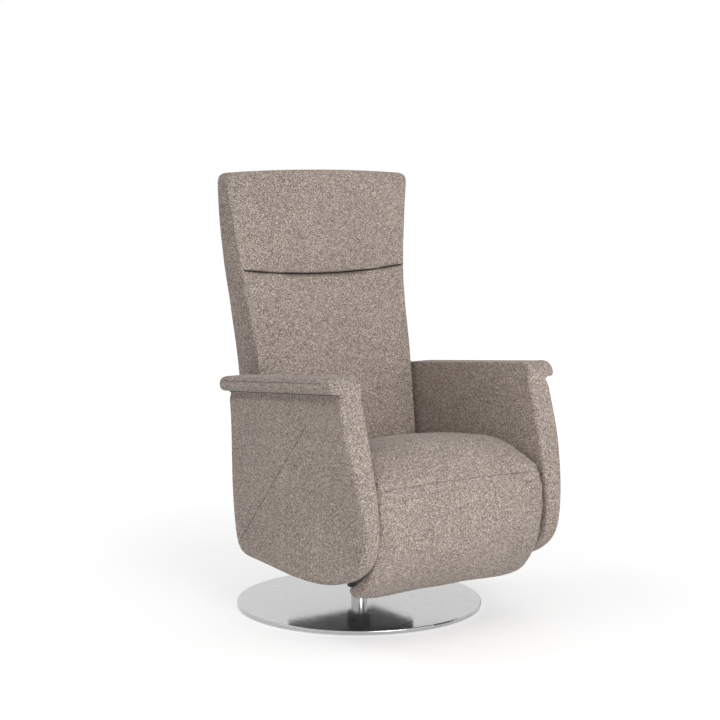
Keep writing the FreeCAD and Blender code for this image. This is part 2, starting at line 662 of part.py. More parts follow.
lugs = move(pair("lugs", lug), "-lift_drive_x")
node("lift_hangers", group("hanging_plates", [pair("hangers", hanger), lugs]))
eye_axle = cylinder("eye_axle", "x", "fork_pin_diameter / 2", ("-lift_drive_x - 17", "-lift_drive_x + 17"),
                    ("lift_eye_y", "lift_eye_z"))
straps = []
for number in range(5):
    middle = f"{number} * webbing_pitch - webbing_first"
    straps.append(box(f"strap_{number}", ("-rail_outer", "rail_outer"),
                      (f"{middle} - webbing_width / 2", f"{middle} + webbing_width / 2"),
                      ("rail_top", "rail_top + webbing_thickness")))
node("seat_webbing", group("straps", straps))
spacer_blocks = group("spacer_blocks", [
    box(f"spacer_{n}", ("rail_outer", "arm_inner"), (f"{y} - 30", f"{y} + 30"), rail_heights)
    for n, y in enumerate(bolt_places)])
spacers = cut("spacers", spacer_blocks, bolt_holes("spacer_holes", ("rail_outer", "arm_inner"), "fit_gap"))
node("arm_spacers", pair("all_spacers", spacers))
bolts = []
for number, y in enumerate(bolt_places):
    middle = (y, "(rail_height + rail_top) / 2")
    bolts.append(fuse(f"arm_bolt_{number}", [
        cylinder(f"arm_bolt_head_{number}", "x", "arm_bolt_diameter",
                 ("rail_inner - 6", "rail_inner"), middle),
        cylinder(f"arm_bolt_shank_{number}", "x", "arm_bolt_diameter / 2",
                 ("rail_inner", "arm_inner + arm_bolt_bite"), middle),
    ]))
node("arm_bolts", pair("all_bolts", group("side_bolts", bolts)))
bracket_span = ("rail_outer", "bracket_outer")
bracket_blank = fuse("bracket_blank", [
    box("bracket_plate", bracket_span, ("rail_rear - 50", "back_hinge_y + 16"),
        ("rail_height + 4", "rail_top")),
    box("bracket_lug", bracket_span, ("seat_rear + 2", "back_hinge_y + 16"),
        ("rail_height + 4", "back_z + 18")),
    box("bracket_tail", bracket_span, ("back_hinge_y", "rear_panel_y"),
        ("rail_height + 4", "rear_panel_top")),
])
bracket = cut("bracket", bracket_blank, cylinder(
    "bracket_hole", "x", "back_pin_diameter / 2", bracket_span, ("back_hinge_y", "back_z")))
node("back_brackets", pair("brackets", bracket))
back_axles = pair("back_axles", cylinder(
    "back_axle", "x", "back_pin_diameter / 2", ("back_plate_inner - 2", "bracket_outer + 2"),
    ("back_hinge_y", "back_z")))
foot_span = ("legrest_bracket_inner", "legrest_bracket_outer")
foot_blank = fuse("foot_blank", [
    box("foot_post", foot_span, ("legrest_back + 1", "-rail_front"), ("rail_height + 5", "legrest_z + 11")),
    box("foot_neck", foot_span, ("legrest_y - 9", "-rail_front"), ("legrest_z - 10", "legrest_z + 11")),
])
foot = cut("foot", foot_blank, cylinder("foot_hole", "x", "legrest_pin_diameter / 2", foot_span,
                                        ("legrest_y", "legrest_z")))
node("legrest_brackets", pair("feet", foot))
legrest_axles = pair("legrest_axles", cylinder(
    "legrest_axle", "x", "legrest_pin_diameter / 2",
    ("legrest_board_half + 0.5", "legrest_bracket_outer + 1"), ("legrest_y", "legrest_z")))
node("frame_pins", group("frame_axles", [eye_axle, back_axles, legrest_axles]))
panel_outside = "rear_panel_y + rear_panel_thickness"
panel_blank = box("rear_blank", ("-arm_inner", "arm_inner"), ("rear_panel_y", panel_outside),
                  ("rear_panel_low", "rear_panel_top"))
node("rear_panel", cut("rear_bored", panel_blank, cylinder(
    "rear_hole", "y", "inlet_diameter / 2 + fit_gap", ("rear_panel_y", panel_outside),
    ("0", "inlet_height"))))
inlet_blank = fuse("inlet_blank", [
    cylinder("inlet_barrel", "y", "inlet_diameter / 2", ("rear_panel_y - 8", panel_outside),
             ("0", "inlet_height")),
    cylinder("inlet_collar", "y", "inlet_diameter / 2 + 5", (panel_outside, panel_outside + " + 3"),
             ("0", "inlet_height")),
])
node("charge_inlet", cut("inlet", inlet_blank, cylinder(
    "inlet_socket", "y", "inlet_diameter / 2 - 4", ("rear_panel_y", panel_outside + " + 3"),
    ("0", "inlet_height"))))
control_box = rounded_block("control_case", "110", "70", "46", "6")
node("control_box", move(control_box, "168", "rear_cross_end - 70", "rail_height - 46"))
battery_pack = rounded_block("battery_case", "70", "110", "52", "8")
node("battery_pack", move(battery_pack, "-165", "rear_cross_end - 62", "rail_height - 52"))

# Back drive lies level beside the middle, its rod pulls the slotted lever under the back
back_case = drive_case("back_case", "back_drive_length - 80", False)
back_saddle = box("back_saddle", ("-10", "10"), ("fork_z - rail_height", "1 - gear_size / 2"),
                  ("gear_start + 2", "gear_end - 2"))
back_motor = fuse("back_motor_all", [back_case, back_saddle])
drive_start = "back_hinge_y - back_drive_length"
node("back_motor", turn(back_motor, -1, "90", drive_start, "fork_z", "back_drive_x"))
back_rod_blank = fuse("back_rod_blank", [
    cylinder("back_rod_shaft", "z", "rod_diameter / 2", ("130", "back_drive_length - 8"), ("0", "0")),
    box("back_rod_end", ("-7", "7"), ("-10", "10"), ("back_drive_length - 14", "back_drive_length + 10")),
])
back_rod = cut("back_rod_bored", back_rod_blank, cylinder(
    "back_rod_hole", "x", "fork_pin_diameter / 2", ("-7", "7"), ("0", "back_drive_length")))
node("back_rod", turn(back_rod, -1, "90", drive_start, "fork_z", "back_drive_x"))
node("back_fork_pin", cylinder("fork_axle", "x", "fork_pin_diameter / 2",
                               ("back_drive_x - lever_outer - 2", "back_drive_x + lever_outer + 2"),
                               ("back_hinge_y", "fork_z")))

# Leg rest drive slopes up to the front and pushes the board with a plain push head
rise = "90 - legrest_drive_angle"
legrest_start = ("push_y + legrest_drive_length * cos(legrest_drive_angle)",
                 "push_z - legrest_drive_length * sin(legrest_drive_angle)")
legrest_case = turn(drive_case("legrest_case", "legrest_drive_length - 30", False), 1, rise, *legrest_start)
legrest_hanger = box("legrest_hanger", ("-12", "12"), ("lift_y - 40", "lift_y + cross_width / 2"),
                     (legrest_start[1] + " + 56", "rail_height"))
node("legrest_motor", fuse("legrest_motor_all", [legrest_case, legrest_hanger]))
legrest_rod = cylinder("legrest_rod_shaft", "z", "rod_diameter / 2",
                       ("rod_start", "legrest_drive_length - 6"), ("0", "0"))
node("legrest_rod", turn(group("legrest_rod_all", [legrest_rod]), 1, rise, *legrest_start))
push_blank = cylinder("push_blank", "x", "push_diameter / 2", ("-24", "24"), ("0", "legrest_drive_length"))
push_socket = cylinder("push_socket", "z", "rod_diameter / 2 + fit_gap",
                       ("legrest_drive_length - 40", "legrest_drive_length - 6"), ("0", "0"))
node("push_head", turn(cut("push_all", push_blank, push_socket), 1, rise, *legrest_start))

# Back frame, built at the back hinge and leaned into place
frame_span = ("frame_offset", "frame_rear")
node("back_uprights", lean_back(pair("uprights", box(
    "upright", ("upright_inner", "back_plate_inner"), frame_span, ("0", "upright_length")))))
bar_starts = ["bar_height", "upright_length / 2", "upright_length - bar_height"]
node("back_bars", lean_back(group("bars", [
    box(f"bar_{n}", ("-upright_inner", "upright_inner"), frame_span, (start, f"{start} + bar_height"))
    for n, start in enumerate(bar_starts)])))
knuckle_span = ("back_plate_inner", "back_plate_outer")
knuckle_blank = fuse("knuckle_blank", [
    box("knuckle_lug", knuckle_span, ("-16", "frame_rear"), ("-16", "16")),
    box("knuckle_leg", knuckle_span, ("frame_offset", "frame_rear"), ("0", "60")),
])
knuckle = cut("knuckle", knuckle_blank, cylinder("knuckle_hole", "x", "back_pin_diameter / 2 + running_gap",
                                                 knuckle_span, ("0", "0")))
node("back_hinge_plates", lean_back(pair("knuckles", knuckle)))
lever_span = ("lever_inner", "lever_outer")
lever_blank = fuse("lever_blank", [
    box("lever_arm", lever_span, ("-lever_front", "frame_rear"), ("-lever_length", "16")),
    box("lever_root", lever_span, ("frame_offset", "frame_rear"), ("0", "bar_height")),
])
slot_reach = "fork_pin_diameter / 2 + slot_play"
lever_slot = box("lever_slot", lever_span,
                 (f"fork_local_y - ({slot_reach})", f"fork_local_y + {slot_reach} + 4"),
                 (f"fork_local_z - ({slot_reach}) - slot_travel", f"fork_local_z + {slot_reach}"))
lever = pair("levers", cut("lever", lever_blank, lever_slot))
node("back_lever", turn(lever, -1, "back_lean", "back_hinge_y", "back_z", "back_drive_x"))
ratchet_span = ("head_plate_x", "head_plate_outer")
ratchet_blank = fuse("ratchet_blank", [
    box("ratchet_foot", ratchet_span, ("head_local_y - 8", "frame_rear"),
        ("upright_length", "upright_length + 25")),
    box("ratchet_neck", ratchet_span, ("head_local_y - 8", "head_local_y + 8"),
        ("upright_length", "head_local_z + 8")),
])
ratchet = cut("ratchet", ratchet_blank, cylinder("ratchet_hole", "x", "head_pin_diameter / 2", ratchet_span,
                                                 ("head_local_y", "head_local_z")))
node("head_brackets", lean_back(pair("ratchets", ratchet)))

# Head section board and hinge arms
node("head_board", box("head_panel", ("-head_board_half", "head_board_half"),
                       ("head_board_y", "head_board_y + head_board_thickness"),
                       ("head_axis_z - 8", "head_board_top")))
head_arm_span = ("head_arm_inner", "head_arm_outer")
head_arm_blank = box("head_arm_blank", head_arm_span, ("head_axis_y - 8", "head_board_y"),
                     ("head_axis_z - 8", "head_axis_z + 32"))
head_arm = cut("head_arm", head_arm_blank, cylinder(
    "head_arm_hole", "x", "head_pin_diameter / 2 + running_gap", head_arm_span, ("head_axis_y", "head_axis_z")))
node("head_arms", pair("arms_of_head", head_arm))
node("head_pins", pair("head_axles", cylinder("head_axle", "x", "head_pin_diameter / 2",
                                              ("head_plate_x - 1", "head_arm_outer + 1"),
                                              ("head_axis_y", "head_axis_z"))))

# Leg rest board with its hinge plates
node("legrest_board", box("legrest_panel", ("-legrest_board_half", "legrest_board_half"),
                          ("legrest_back", "board_back"), ("legrest_board_low", "legrest_z - legrest_round")))
wing_span = ("legrest_board_half", "legrest_plate_outer")
wing_blank = fuse("wing_blank", [
    box("wing_leg", wing_span, ("legrest_back", "board_back"), ("legrest_z - 75", "legrest_z + 9")),
    box("wing_neck", wing_span, ("legrest_y - 9", "board_back"), ("legrest_z - 10", "legrest_z + 9")),
])
wing = cut("wing", wing_blank, cylinder("wing_hole", "x", "legrest_pin_diameter / 2 + running_gap", wing_span,
                                        ("legrest_y", "legrest_z")))
node("legrest_plates", pair("wings", wing))

# Switch panel in the right arm with three rocker keys that tip about upright trunnions
panel_ys = ("-panel_y - panel_length / 2", "panel_length / 2 - panel_y")
panel_zs = ("panel_z - panel_height / 2", "panel_z + panel_height / 2")
panel_back = "panel_face - panel_depth"
switch_blank = box("switch_blank", (panel_back, "panel_face"), panel_ys, panel_zs)
wells = []
half_length = "rocker_length / 2"
half_width = "rocker_width / 2"
half_thick = "rocker_thickness / 2"
for number, word in enumerate(("back_rocker", "legrest_rocker", "lift_rocker")):
    middle = f"({number} - 1) * rocker_pitch - panel_y"
    wells.append(box(f"well_{number}", (f"rocker_axis_x - {half_thick} - 2", "panel_face"),
                     (f"{middle} - {half_length} - rocker_play", f"{middle} + {half_length} + rocker_play"),
                     (f"panel_z - {half_width} - rocker_play", f"panel_z + {half_width} + rocker_play")))
    wells.append(cylinder(f"journal_{number}", "z", "trunnion_diameter / 2 + running_gap",
                          (f"panel_z - {half_width} - 4", f"panel_z + {half_width} + 4"),
                          ("rocker_axis_x", middle)))
    key = box(f"rocker_key_{number}", (f"rocker_axis_x - {half_thick}", f"rocker_axis_x + {half_thick}"),
              (f"{middle} - {half_length}", f"{middle} + {half_length}"),
              (f"panel_z - {half_width}", f"panel_z + {half_width}"))
    trunnion = cylinder(f"trunnion_{number}", "z", "trunnion_diameter / 2",
                        (f"panel_z - {half_width} - 3", f"panel_z + {half_width} + 3"),
                        ("rocker_axis_x", middle))
    node(word, fuse(f"rocker_body_{number}", [key, trunnion]))
node("switch_panel", cut("switch_case", switch_blank, fuse("all_wells", wells)))
doc.recompute()


# Soft pieces: lofts and rounded slabs made of lines and arcs
def arc(first, middle, last):
    return Part.Arc(first, middle, last).toShape()


def line(first, last):
    return Part.LineSegment(first, last).toShape()


def outline(points, x=0.0):
    """A closed side outline; an entry is a corner (y, z) or ("via", y, z) for an arc through that point."""
    corners = [p for p in points if p[0] != "via"]
    edges = []
    start = Vector(x, *corners[0])
    middle = None
    for point in points[1:] + [corners[0]]:
        if point[0] == "via":
            middle = Vector(x, point[1], point[2])
            continue
        end = Vector(x, *point)
        edges.append(arc(start, middle, end) if middle else line(start, end))
        start, middle = end, None
    return Part.Wire(edges)


def slab(points, x_low, x_high):
    face = Part.Face(outline(points, x_low))
    return face.extrude(Vector(x_high - x_low, 0, 0))


def mirrored(shape):
    return shape.mirror(Vector(), Vector(1, 0, 0))


def half_space(corner, size):
    return Part.makeBox(*size, Vector(*corner))


def seat_outline(x, lift, tuck):
    """Seat seen from the side; lift raises the crown, tuck draws the nose in."""
    top = at.seat_top + lift
    nose = -at.seat_front + tuck
    foot = -at.rail_front + 6
    fall = at.seat_top - at.nose_bottom
    return outline([
        (at.seat_rear, at.cushion_bottom), (foot, at.cushion_bottom), (foot, at.nose_bottom),
        (nose + 1.75 * at.seat_nose_bevel, at.nose_bottom), (nose, at.nose_bottom + at.seat_nose_bevel),
        ("via", nose + 40, at.nose_bottom + 0.62 * fall + 0.7 * lift),
        (nose + 175, top), ("via", nose + 330, top - 13), (at.seat_rear, top - 0.7 * fall - 0.5 * lift),
    ], x)


shares = [-1, -0.86, -0.5, 0, 0.5, 0.86, 1]
seat_wires = []
for share in shares:
    lift = at.seat_crown * (1 - share ** 2) - at.seat_edge_drop * share ** 8
    seat_wires.append(seat_outline(share * at.seat_half, lift, 10 * share ** 8))
solid_node("seat_cushion", Part.makeLoft(seat_wires, True, False))


def legrest_outline(x, inset, rise_of_edge):
    """Leg rest seen from the side: rolled top, full front and a toe that curls under."""
    y, z, r = at.legrest_y, at.legrest_z, at.legrest_round
    q = r * math.sqrt(0.5)
    belly = -at.legrest_belly + inset
    low = at.legrest_bottom + rise_of_edge
    toe = -at.legrest_toe + 0.5 * inset
    board_low = at.legrest_board_low
    return outline([
        (y - r, z), ("via", y - q, z + q), (y, z + r), ("via", y + q, z + q), (y + r, z),
        (y + r, board_low), ("via", y + r + 30, board_low - 36 + 0.5 * rise_of_edge),
        (toe + 34, low + 16), ("via", toe + 24, low + 2), (toe, low),
        ("via", belly + 20, at.legrest_belly_height - 0.52 * (at.legrest_belly_height - low)),
        (belly, at.legrest_belly_height),
        ("via", belly + 3, at.legrest_belly_height + 0.5 * (z - at.legrest_belly_height)),
    ], x)


legrest_pad = Part.makeLoft([
    legrest_outline(share * at.legrest_half, 9 * share ** 8, 18 * share ** 8) for share in shares
], True, False)
notch_low = at.legrest_z - 14
notch = half_space((at.legrest_board_half - 0.5, at.legrest_y - 60, notch_low),
                   (at.legrest_bracket_outer - at.legrest_board_half + 2, 120, 60))
solid_node("legrest_pad", legrest_pad.cut(notch).cut(mirrored(notch)))

# Arms: slab with a soft edge, and a cap that overhangs to the outside
slope = (at.arm_top_rear - at.arm_top_front) / (at.arm_rear_top + at.arm_front_top)
upper = at.arm_top_front - at.arm_belly_height
lower = at.arm_belly_height - at.arm_bottom
reach = at.arm_belly - at.arm_front_top
flare = at.arm_rear_top - at.arm_rear_low
rear_rise = at.arm_top_rear - at.arm_bottom
arm_points = [
    (-at.arm_front_top, at.arm_top_front),
    (-at.arm_front_top - 0.36 * reach, at.arm_belly_height + 0.7 * upper),
    (-at.arm_front_top - 0.76 * reach, at.arm_belly_height + 0.33 * upper),
    (-at.arm_belly, at.arm_belly_height),
    (-0.97 * at.arm_belly, at.arm_bottom + 0.48 * lower),
    (-0.83 * at.arm_belly, at.arm_bottom + 0.16 * lower),
    (-0.3 * at.arm_belly, at.arm_bottom),
    (0.1 * at.arm_rear_low, at.arm_bottom + 0.05 * lower),
    (0.8 * at.arm_rear_low, at.arm_bottom + 0.14 * lower),
    (1.05 * at.arm_rear_low, at.arm_bottom + 0.2 * rear_rise),
    (at.arm_rear_low + 0.6 * flare, at.arm_bottom + 0.62 * rear_rise),
    (at.arm_rear_top, at.arm_top_rear),
]
arm_curve = Part.BSplineCurve()
arm_curve.interpolate([Vector(at.arm_inner, y, z) for y, z in arm_points])
arm_top = line(Vector(at.arm_inner, *arm_points[-1]), Vector(at.arm_inner, *arm_points[0]))
arm_face = Part.Face(Part.Wire([arm_curve.toShape(), arm_top]))
arm_slab = arm_face.extrude(Vector(at.arm_thickness, 0, 0))
round_edges = [e for e in arm_slab.Edges
               if e.BoundBox.XLength < 0.1 and e.BoundBox.ZMin < at.arm_belly_height]
arm_slab = arm_slab.makeFillet(at.arm_edge_radius, round_edges)
bolt_bores = Part.makeCompound([Part.makeCylinder(
    at.arm_bolt_diameter / 2 + at.fit_gap, at.arm_bolt_bite + 2,
    Vector(at.arm_inner - 1, -ahead, (at.rail_height + at.rail_top) / 2), Vector(1, 0, 0))
    for ahead in (at.front_bolt, at.rear_bolt)])
arm_slab = arm_slab.cut(bolt_bores)
solid_node("left_arm_panel", arm_slab)
solid_node("right_arm_panel", mirrored(arm_slab).cut(switch_blank.Shape))

tail = at.arm_rear_top + at.cap_tail
thick = at.cap_thickness
front_low = at.arm_top_front
rear_low = at.arm_top_front + slope * (tail + at.arm_front_top)
cap_points = [
    (-at.arm_front_top, front_low), (tail - 0.3 * thick, rear_low - 0.3 * thick * slope),
    ("via", tail, rear_low + 0.5 * thick), (tail - 0.45 * thick, rear_low + thick),
    (-at.arm_front_top + 1.1 * thick, front_low + thick + slope * thick),
    ("via", -at.arm_front_top + 0.42 * thick, front_low + 0.86 * thick),
]
cap = slab(cap_points, at.arm_inner, at.arm_outer + at.cap_overhang)
outer_edges = [e for e in cap.Edges if e.BoundBox.XMin > at.arm_outer + 1]
cap = cap.makeFillet(0.4 * thick, outer_edges)
solid_node("left_arm_cap", cap)
solid_node("right_arm_cap", mirrored(cap))


# Back: one leaning form through seven outlines, parted into back and head section, each in two layers
def back_outline(number):
    z, half, front, crown, rear = [getattr(at, f"back_{word}_{number}")
                                   for word in ("height", "half", "front", "crown", "rear")]
    r = at.back_corner
    q = r * (1 - math.sqrt(0.5))

    def p(x, y):
        return Vector(x, y, z)
    return Part.Wire([
        arc(p(-half + r, front), p(0, front - crown), p(half - r, front)),
        arc(p(half - r, front), p(half - q, front + q), p(half, front + r)),
        line(p(half, front + r), p(half, rear - r)),
        arc(p(half, rear - r), p(half - q, rear - q), p(half - r, rear)),
        arc(p(half - r, rear), p(0, rear + 5), p(-half + r, rear)),
        arc(p(-half + r, rear), p(-half + q, rear - q), p(-half, rear - r)),
        line(p(-half, rear - r), p(-half, front + r)),
        arc(p(-half, front + r), p(-half + q, front + q), p(-half + r, front)),
    ])


back_form = Part.makeLoft([back_outline(n) for n in range(1, len(BACK_STATIONS) + 1)], True, False)
span = at.back_half_7 + 20
shoulder_z = at.back_top - at.back_top_crown * ((span / at.back_half_7) ** 2 - 1)
arch_edge = [Vector(-span, -100, 0), Vector(span, -100, 0), Vector(span, -100, shoulder_z),
             Vector(0, -100, at.back_top + at.back_top_crown), Vector(-span, -100, shoulder_z)]
arch = Part.Face(Part.Wire([
    line(arch_edge[0], arch_edge[1]), line(arch_edge[1], arch_edge[2]),
    arc(arch_edge[2], arch_edge[3], arch_edge[4]), line(arch_edge[4], arch_edge[0]),
])).extrude(Vector(0, 600, 0))
back_form = back_form.common(arch)
top_edges = [e for e in back_form.Edges if e.BoundBox.ZMin > at.back_top - 6]
back_form = back_form.makeFillet(9, top_edges)
back_part = back_form.common(half_space((-400, -100, 0), (800, 600, at.crease_height - at.crease_gap)))
head_part = back_form.common(half_space((-400, -100, at.crease_height), (800, 600, 600)))


def leaned(shape):
    shape.rotate(Vector(), Vector(1, 0, 0), -at.back_lean)
    shape.translate(Vector(0, at.back_hinge_y, at.back_z))
    return shape


front_side = leaned(half_space((-400, at.frame_offset - 400, -200), (800, 400, 900)))
pocket_half = at.back_plate_outer + at.fit_gap
pocket_height = at.upright_length + 25.5
frame_pocket = leaned(half_space((-pocket_half, at.frame_offset, -200),
                                 (2 * pocket_half, at.frame_depth + at.fit_gap, 200 + pocket_height)))
ratchet_slot = leaned(half_space((at.head_plate_x - 0.5, at.head_local_y - 9, at.upright_length - 1),
                                 (at.head_plate + 1, 60, 100)))
slots = [ratchet_slot, mirrored(ratchet_slot)]
solid_node("back_cushion", back_part.common(front_side).cut(Part.makeCompound(slots)))
solid_node("back_shell", back_part.cut(front_side).cut(frame_pocket))

roll_corner = half_space((-400, 0, at.crease_height - 1), (800, at.head_axis_y, at.head_roll + 1))
roll = Part.makeCylinder(at.head_roll, 800, Vector(-400, at.head_axis_y, at.head_axis_z), Vector(1, 0, 0))
head_part = head_part.cut(roll_corner.cut(roll))
head_front = half_space((-400, -100, 0), (800, 100 + at.head_board_y, 2000))
arm_slot = half_space((at.head_plate_x - 1, at.head_axis_y - 13, at.crease_height - 1),
                      (at.head_arm_outer - at.head_plate_x + 2, at.head_board_y - at.head_axis_y + 13,
                       at.head_roll + 34))
neck_slot = half_space((at.head_plate_x - 1, 0, at.crease_height - 1),
                       (at.head_plate + 2, at.head_board_y, at.head_roll))
head_slots = Part.makeCompound([arm_slot.fuse(neck_slot), mirrored(arm_slot.fuse(neck_slot))])
pocket_low = at.head_axis_z - 8 - at.fit_gap
board_pocket = half_space((-at.head_board_half - at.fit_gap, at.head_board_y, pocket_low),
                          (2 * (at.head_board_half + at.fit_gap), at.head_board_thickness,
                           at.head_board_top - at.head_axis_z + 8 + 2 * at.fit_gap))
solid_node("head_cushion", head_part.common(head_front).cut(head_slots))
solid_node("head_shell", head_part.cut(head_front).cut(board_pocket))
doc.recompute()

# Check every object, then write one file for each sub-part
for item in doc.Objects:
    if "Invalid" in item.State or "Error" in item.State:
        raise RuntimeError(f"{item.Name} did not build: {item.State}")
os.makedirs("parts", exist_ok=True)
for name, item in nodes.items():
    if item.Shape.isNull() or not item.Shape.isValid() or not item.Shape.Solids:
        raise RuntimeError(f"{name} has no valid solid")
    item.Shape.exportStep(f"parts/{name}.step")
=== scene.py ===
import json
import math
import bmesh
import bpy
import numpy as np
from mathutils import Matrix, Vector
from mathutils.bvhtree import BVHTree


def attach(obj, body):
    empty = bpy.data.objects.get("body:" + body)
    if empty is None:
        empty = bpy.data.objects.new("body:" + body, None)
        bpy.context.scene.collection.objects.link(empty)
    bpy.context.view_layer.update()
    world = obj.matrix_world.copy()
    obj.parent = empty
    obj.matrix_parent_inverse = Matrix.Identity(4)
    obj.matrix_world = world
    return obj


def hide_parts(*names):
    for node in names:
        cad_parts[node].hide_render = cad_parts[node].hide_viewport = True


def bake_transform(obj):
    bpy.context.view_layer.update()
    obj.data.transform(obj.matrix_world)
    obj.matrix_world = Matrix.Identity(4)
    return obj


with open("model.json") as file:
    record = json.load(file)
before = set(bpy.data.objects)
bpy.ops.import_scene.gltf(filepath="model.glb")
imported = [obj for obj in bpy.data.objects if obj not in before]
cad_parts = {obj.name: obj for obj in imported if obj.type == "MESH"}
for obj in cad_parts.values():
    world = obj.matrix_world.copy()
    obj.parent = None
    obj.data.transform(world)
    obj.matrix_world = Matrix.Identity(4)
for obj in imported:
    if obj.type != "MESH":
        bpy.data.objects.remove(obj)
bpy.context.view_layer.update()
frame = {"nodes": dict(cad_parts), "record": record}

# Looks of a swivel lift chair: front is -Y, the sitter's right arm is at -X, lengths in metres
NODES = frame["nodes"]
scene = bpy.context.scene


# Materials
def new_material(name):
    """A material with one shader, its node tree and that shader."""
    material = bpy.data.materials.new(name)
    material.use_nodes = True
    tree = material.node_tree
    tree.nodes.clear()
    output = tree.nodes.new("ShaderNodeOutputMaterial")
    shader = tree.nodes.new("ShaderNodeBsdfPrincipled")
    tree.links.new(shader.outputs["BSDF"], output.inputs["Surface"])
    return material, tree, shader


def texture(tree, kind, scale, stretch=(1, 1, 1), **settings):
    """A texture in the chair's own frame; stretch squeezes the pattern along an axis."""
    place = tree.nodes.new("ShaderNodeTexCoord")
    mapping = tree.nodes.new("ShaderNodeMapping")
    mapping.inputs["Scale"].default_value = stretch
    node = tree.nodes.new(kind)
    tree.links.new(place.outputs["Object"], mapping.inputs["Vector"])
    tree.links.new(mapping.outputs["Vector"], node.inputs["Vector"])
    node.inputs["Scale"].default_value = scale
    for word, value in settings.items():
        node.inputs[word.replace("_", " ")].default_value = value
    return node


def ramp(tree, source, stops):
    """Colours along a value; stops are (place, colour)."""
    node = tree.nodes.new("ShaderNodeValToRGB")
    while len(node.color_ramp.elements) < len(stops):
        node.color_ramp.elements.new(0.5)
    for element, (place, colour) in zip(node.color_ramp.elements, stops):
        element.position = place
        element.color = (*colour, 1)
    tree.links.new(source, node.inputs["Fac"])
    return node.outputs["Color"]


def grey(value):
    return (value, value, value)


def blend_colours(tree, kind, share, first, second):
    """Two colours joined in a way of mixing, by a share."""
    node = tree.nodes.new("ShaderNodeMix")
    node.data_type = "RGBA"
    node.blend_type = kind
    node.inputs["Factor"].default_value = share
    tree.links.new(first, node.inputs["A"])
    tree.links.new(second, node.inputs["B"])
    return node.outputs["Result"]


def bump(tree, shader, source, depth, strength):
    """Fine relief from a texture."""
    node = tree.nodes.new("ShaderNodeBump")
    node.inputs["Distance"].default_value = depth
    node.inputs["Strength"].default_value = strength
    tree.links.new(source, node.inputs["Height"])
    tree.links.new(node.outputs["Normal"], shader.inputs["Normal"])


def tweed(name, level=1.0):
    """Taupe melange cloth: light and dark flecks, nubbly yarn and a slow drift of tone."""
    material, tree, shader = new_material(name)

    def tone(r, g, b):
        return (r * level, g * level, b * level)

    flecks = texture(tree, "ShaderNodeTexVoronoi", 760, Randomness=0.85)
    split = tree.nodes.new("ShaderNodeSeparateColor")
    tree.links.new(flecks.outputs["Color"], split.inputs["Color"])
    yarn = ramp(tree, split.outputs["Red"], [
        (0.0, tone(0.045, 0.034, 0.028)), (0.18, tone(0.190, 0.154, 0.131)), (0.5, tone(0.385, 0.316, 0.273)),
        (0.80, tone(0.540, 0.451, 0.395)), (1.0, tone(1.000, 0.880, 0.800)),
    ])
    fibres = texture(tree, "ShaderNodeTexNoise", 900, Detail=2.0, Roughness=0.6)
    fuzz = ramp(tree, fibres.outputs["Fac"], [(0.25, grey(0.62)), (0.5, grey(1.0)), (0.75, grey(1.38))])
    drift = texture(tree, "ShaderNodeTexNoise", 7, Detail=2.0)
    wear = ramp(tree, drift.outputs["Fac"], [(0.3, grey(0.95)), (0.7, grey(1.05))])
    colour = blend_colours(tree, "MULTIPLY", 1.0, yarn, fuzz)
    colour = blend_colours(tree, "MULTIPLY", 1.0, colour, wear)
    tree.links.new(colour, shader.inputs["Base Color"])
    nubs = texture(tree, "ShaderNodeTexVoronoi", 760, Randomness=0.8)
    relief = blend_colours(tree, "ADD", 0.6, fibres.outputs["Color"], nubs.outputs["Distance"])
    bump(tree, shader, relief, 0.0005, 0.45)
    shader.inputs["Roughness"].default_value = 0.95
    shader.inputs["Specular IOR Level"].default_value = 0.15
    shader.inputs["Sheen Weight"].default_value = 0.12
    shader.inputs["Sheen Roughness"].default_value = 0.5
    return material


def metal(name, low, high, rough, grain, stretch, metallic=1.0):
    """Bare or polished metal with a faint grain in tone and gloss."""
    material, tree, shader = new_material(name)
    noise = texture(tree, "ShaderNodeTexNoise", grain, stretch, Detail=4.0, Roughness=0.6)
    tree.links.new(ramp(tree, noise.outputs["Fac"], [(0.3, low), (0.7, high)]), shader.inputs["Base Color"])
    gloss = ramp(tree, noise.outputs["Fac"], [(0.3, grey(rough * 0.7)), (0.7, grey(rough * 1.4))])
    tree.links.new(gloss, shader.inputs["Roughness"])
    shader.inputs["Metallic"].default_value = metallic
    return material


def coated(name, low, high, rough, grain, depth):
    """Paint, plastic or rubber with a moulded or orange-peel surface."""
    material, tree, shader = new_material(name)
    noise = texture(tree, "ShaderNodeTexNoise", grain, Detail=3.0, Roughness=0.55)
    tree.links.new(ramp(tree, noise.outputs["Fac"], [(0.35, low), (0.65, high)]), shader.inputs["Base Color"])
    gloss = ramp(tree, noise.outputs["Fac"], [(0.3, grey(rough * 0.85)), (0.7, grey(min(1, rough * 1.15)))])
    tree.links.new(gloss, shader.inputs["Roughness"])
    bump(tree, shader, noise.outputs["Fac"], depth, 0.4)
    return material


def plywood(name):
    """Beech ply with a long grain."""
    material, tree, shader = new_material(name)
    grain = texture(tree, "ShaderNodeTexNoise", 30, (1, 6, 14), Detail=5.0, Distortion=0.8)
    colour = ramp(tree, grain.outputs["Fac"], [
        (0.3, (0.44, 0.30, 0.18)), (0.5, (0.60, 0.45, 0.28)), (0.75, (0.70, 0.56, 0.38))])
    tree.links.new(colour, shader.inputs["Base Color"])
    bump(tree, shader, grain.outputs["Fac"], 0.0006, 0.4)
    shader.inputs["Roughness"].default_value = 0.65
    return material


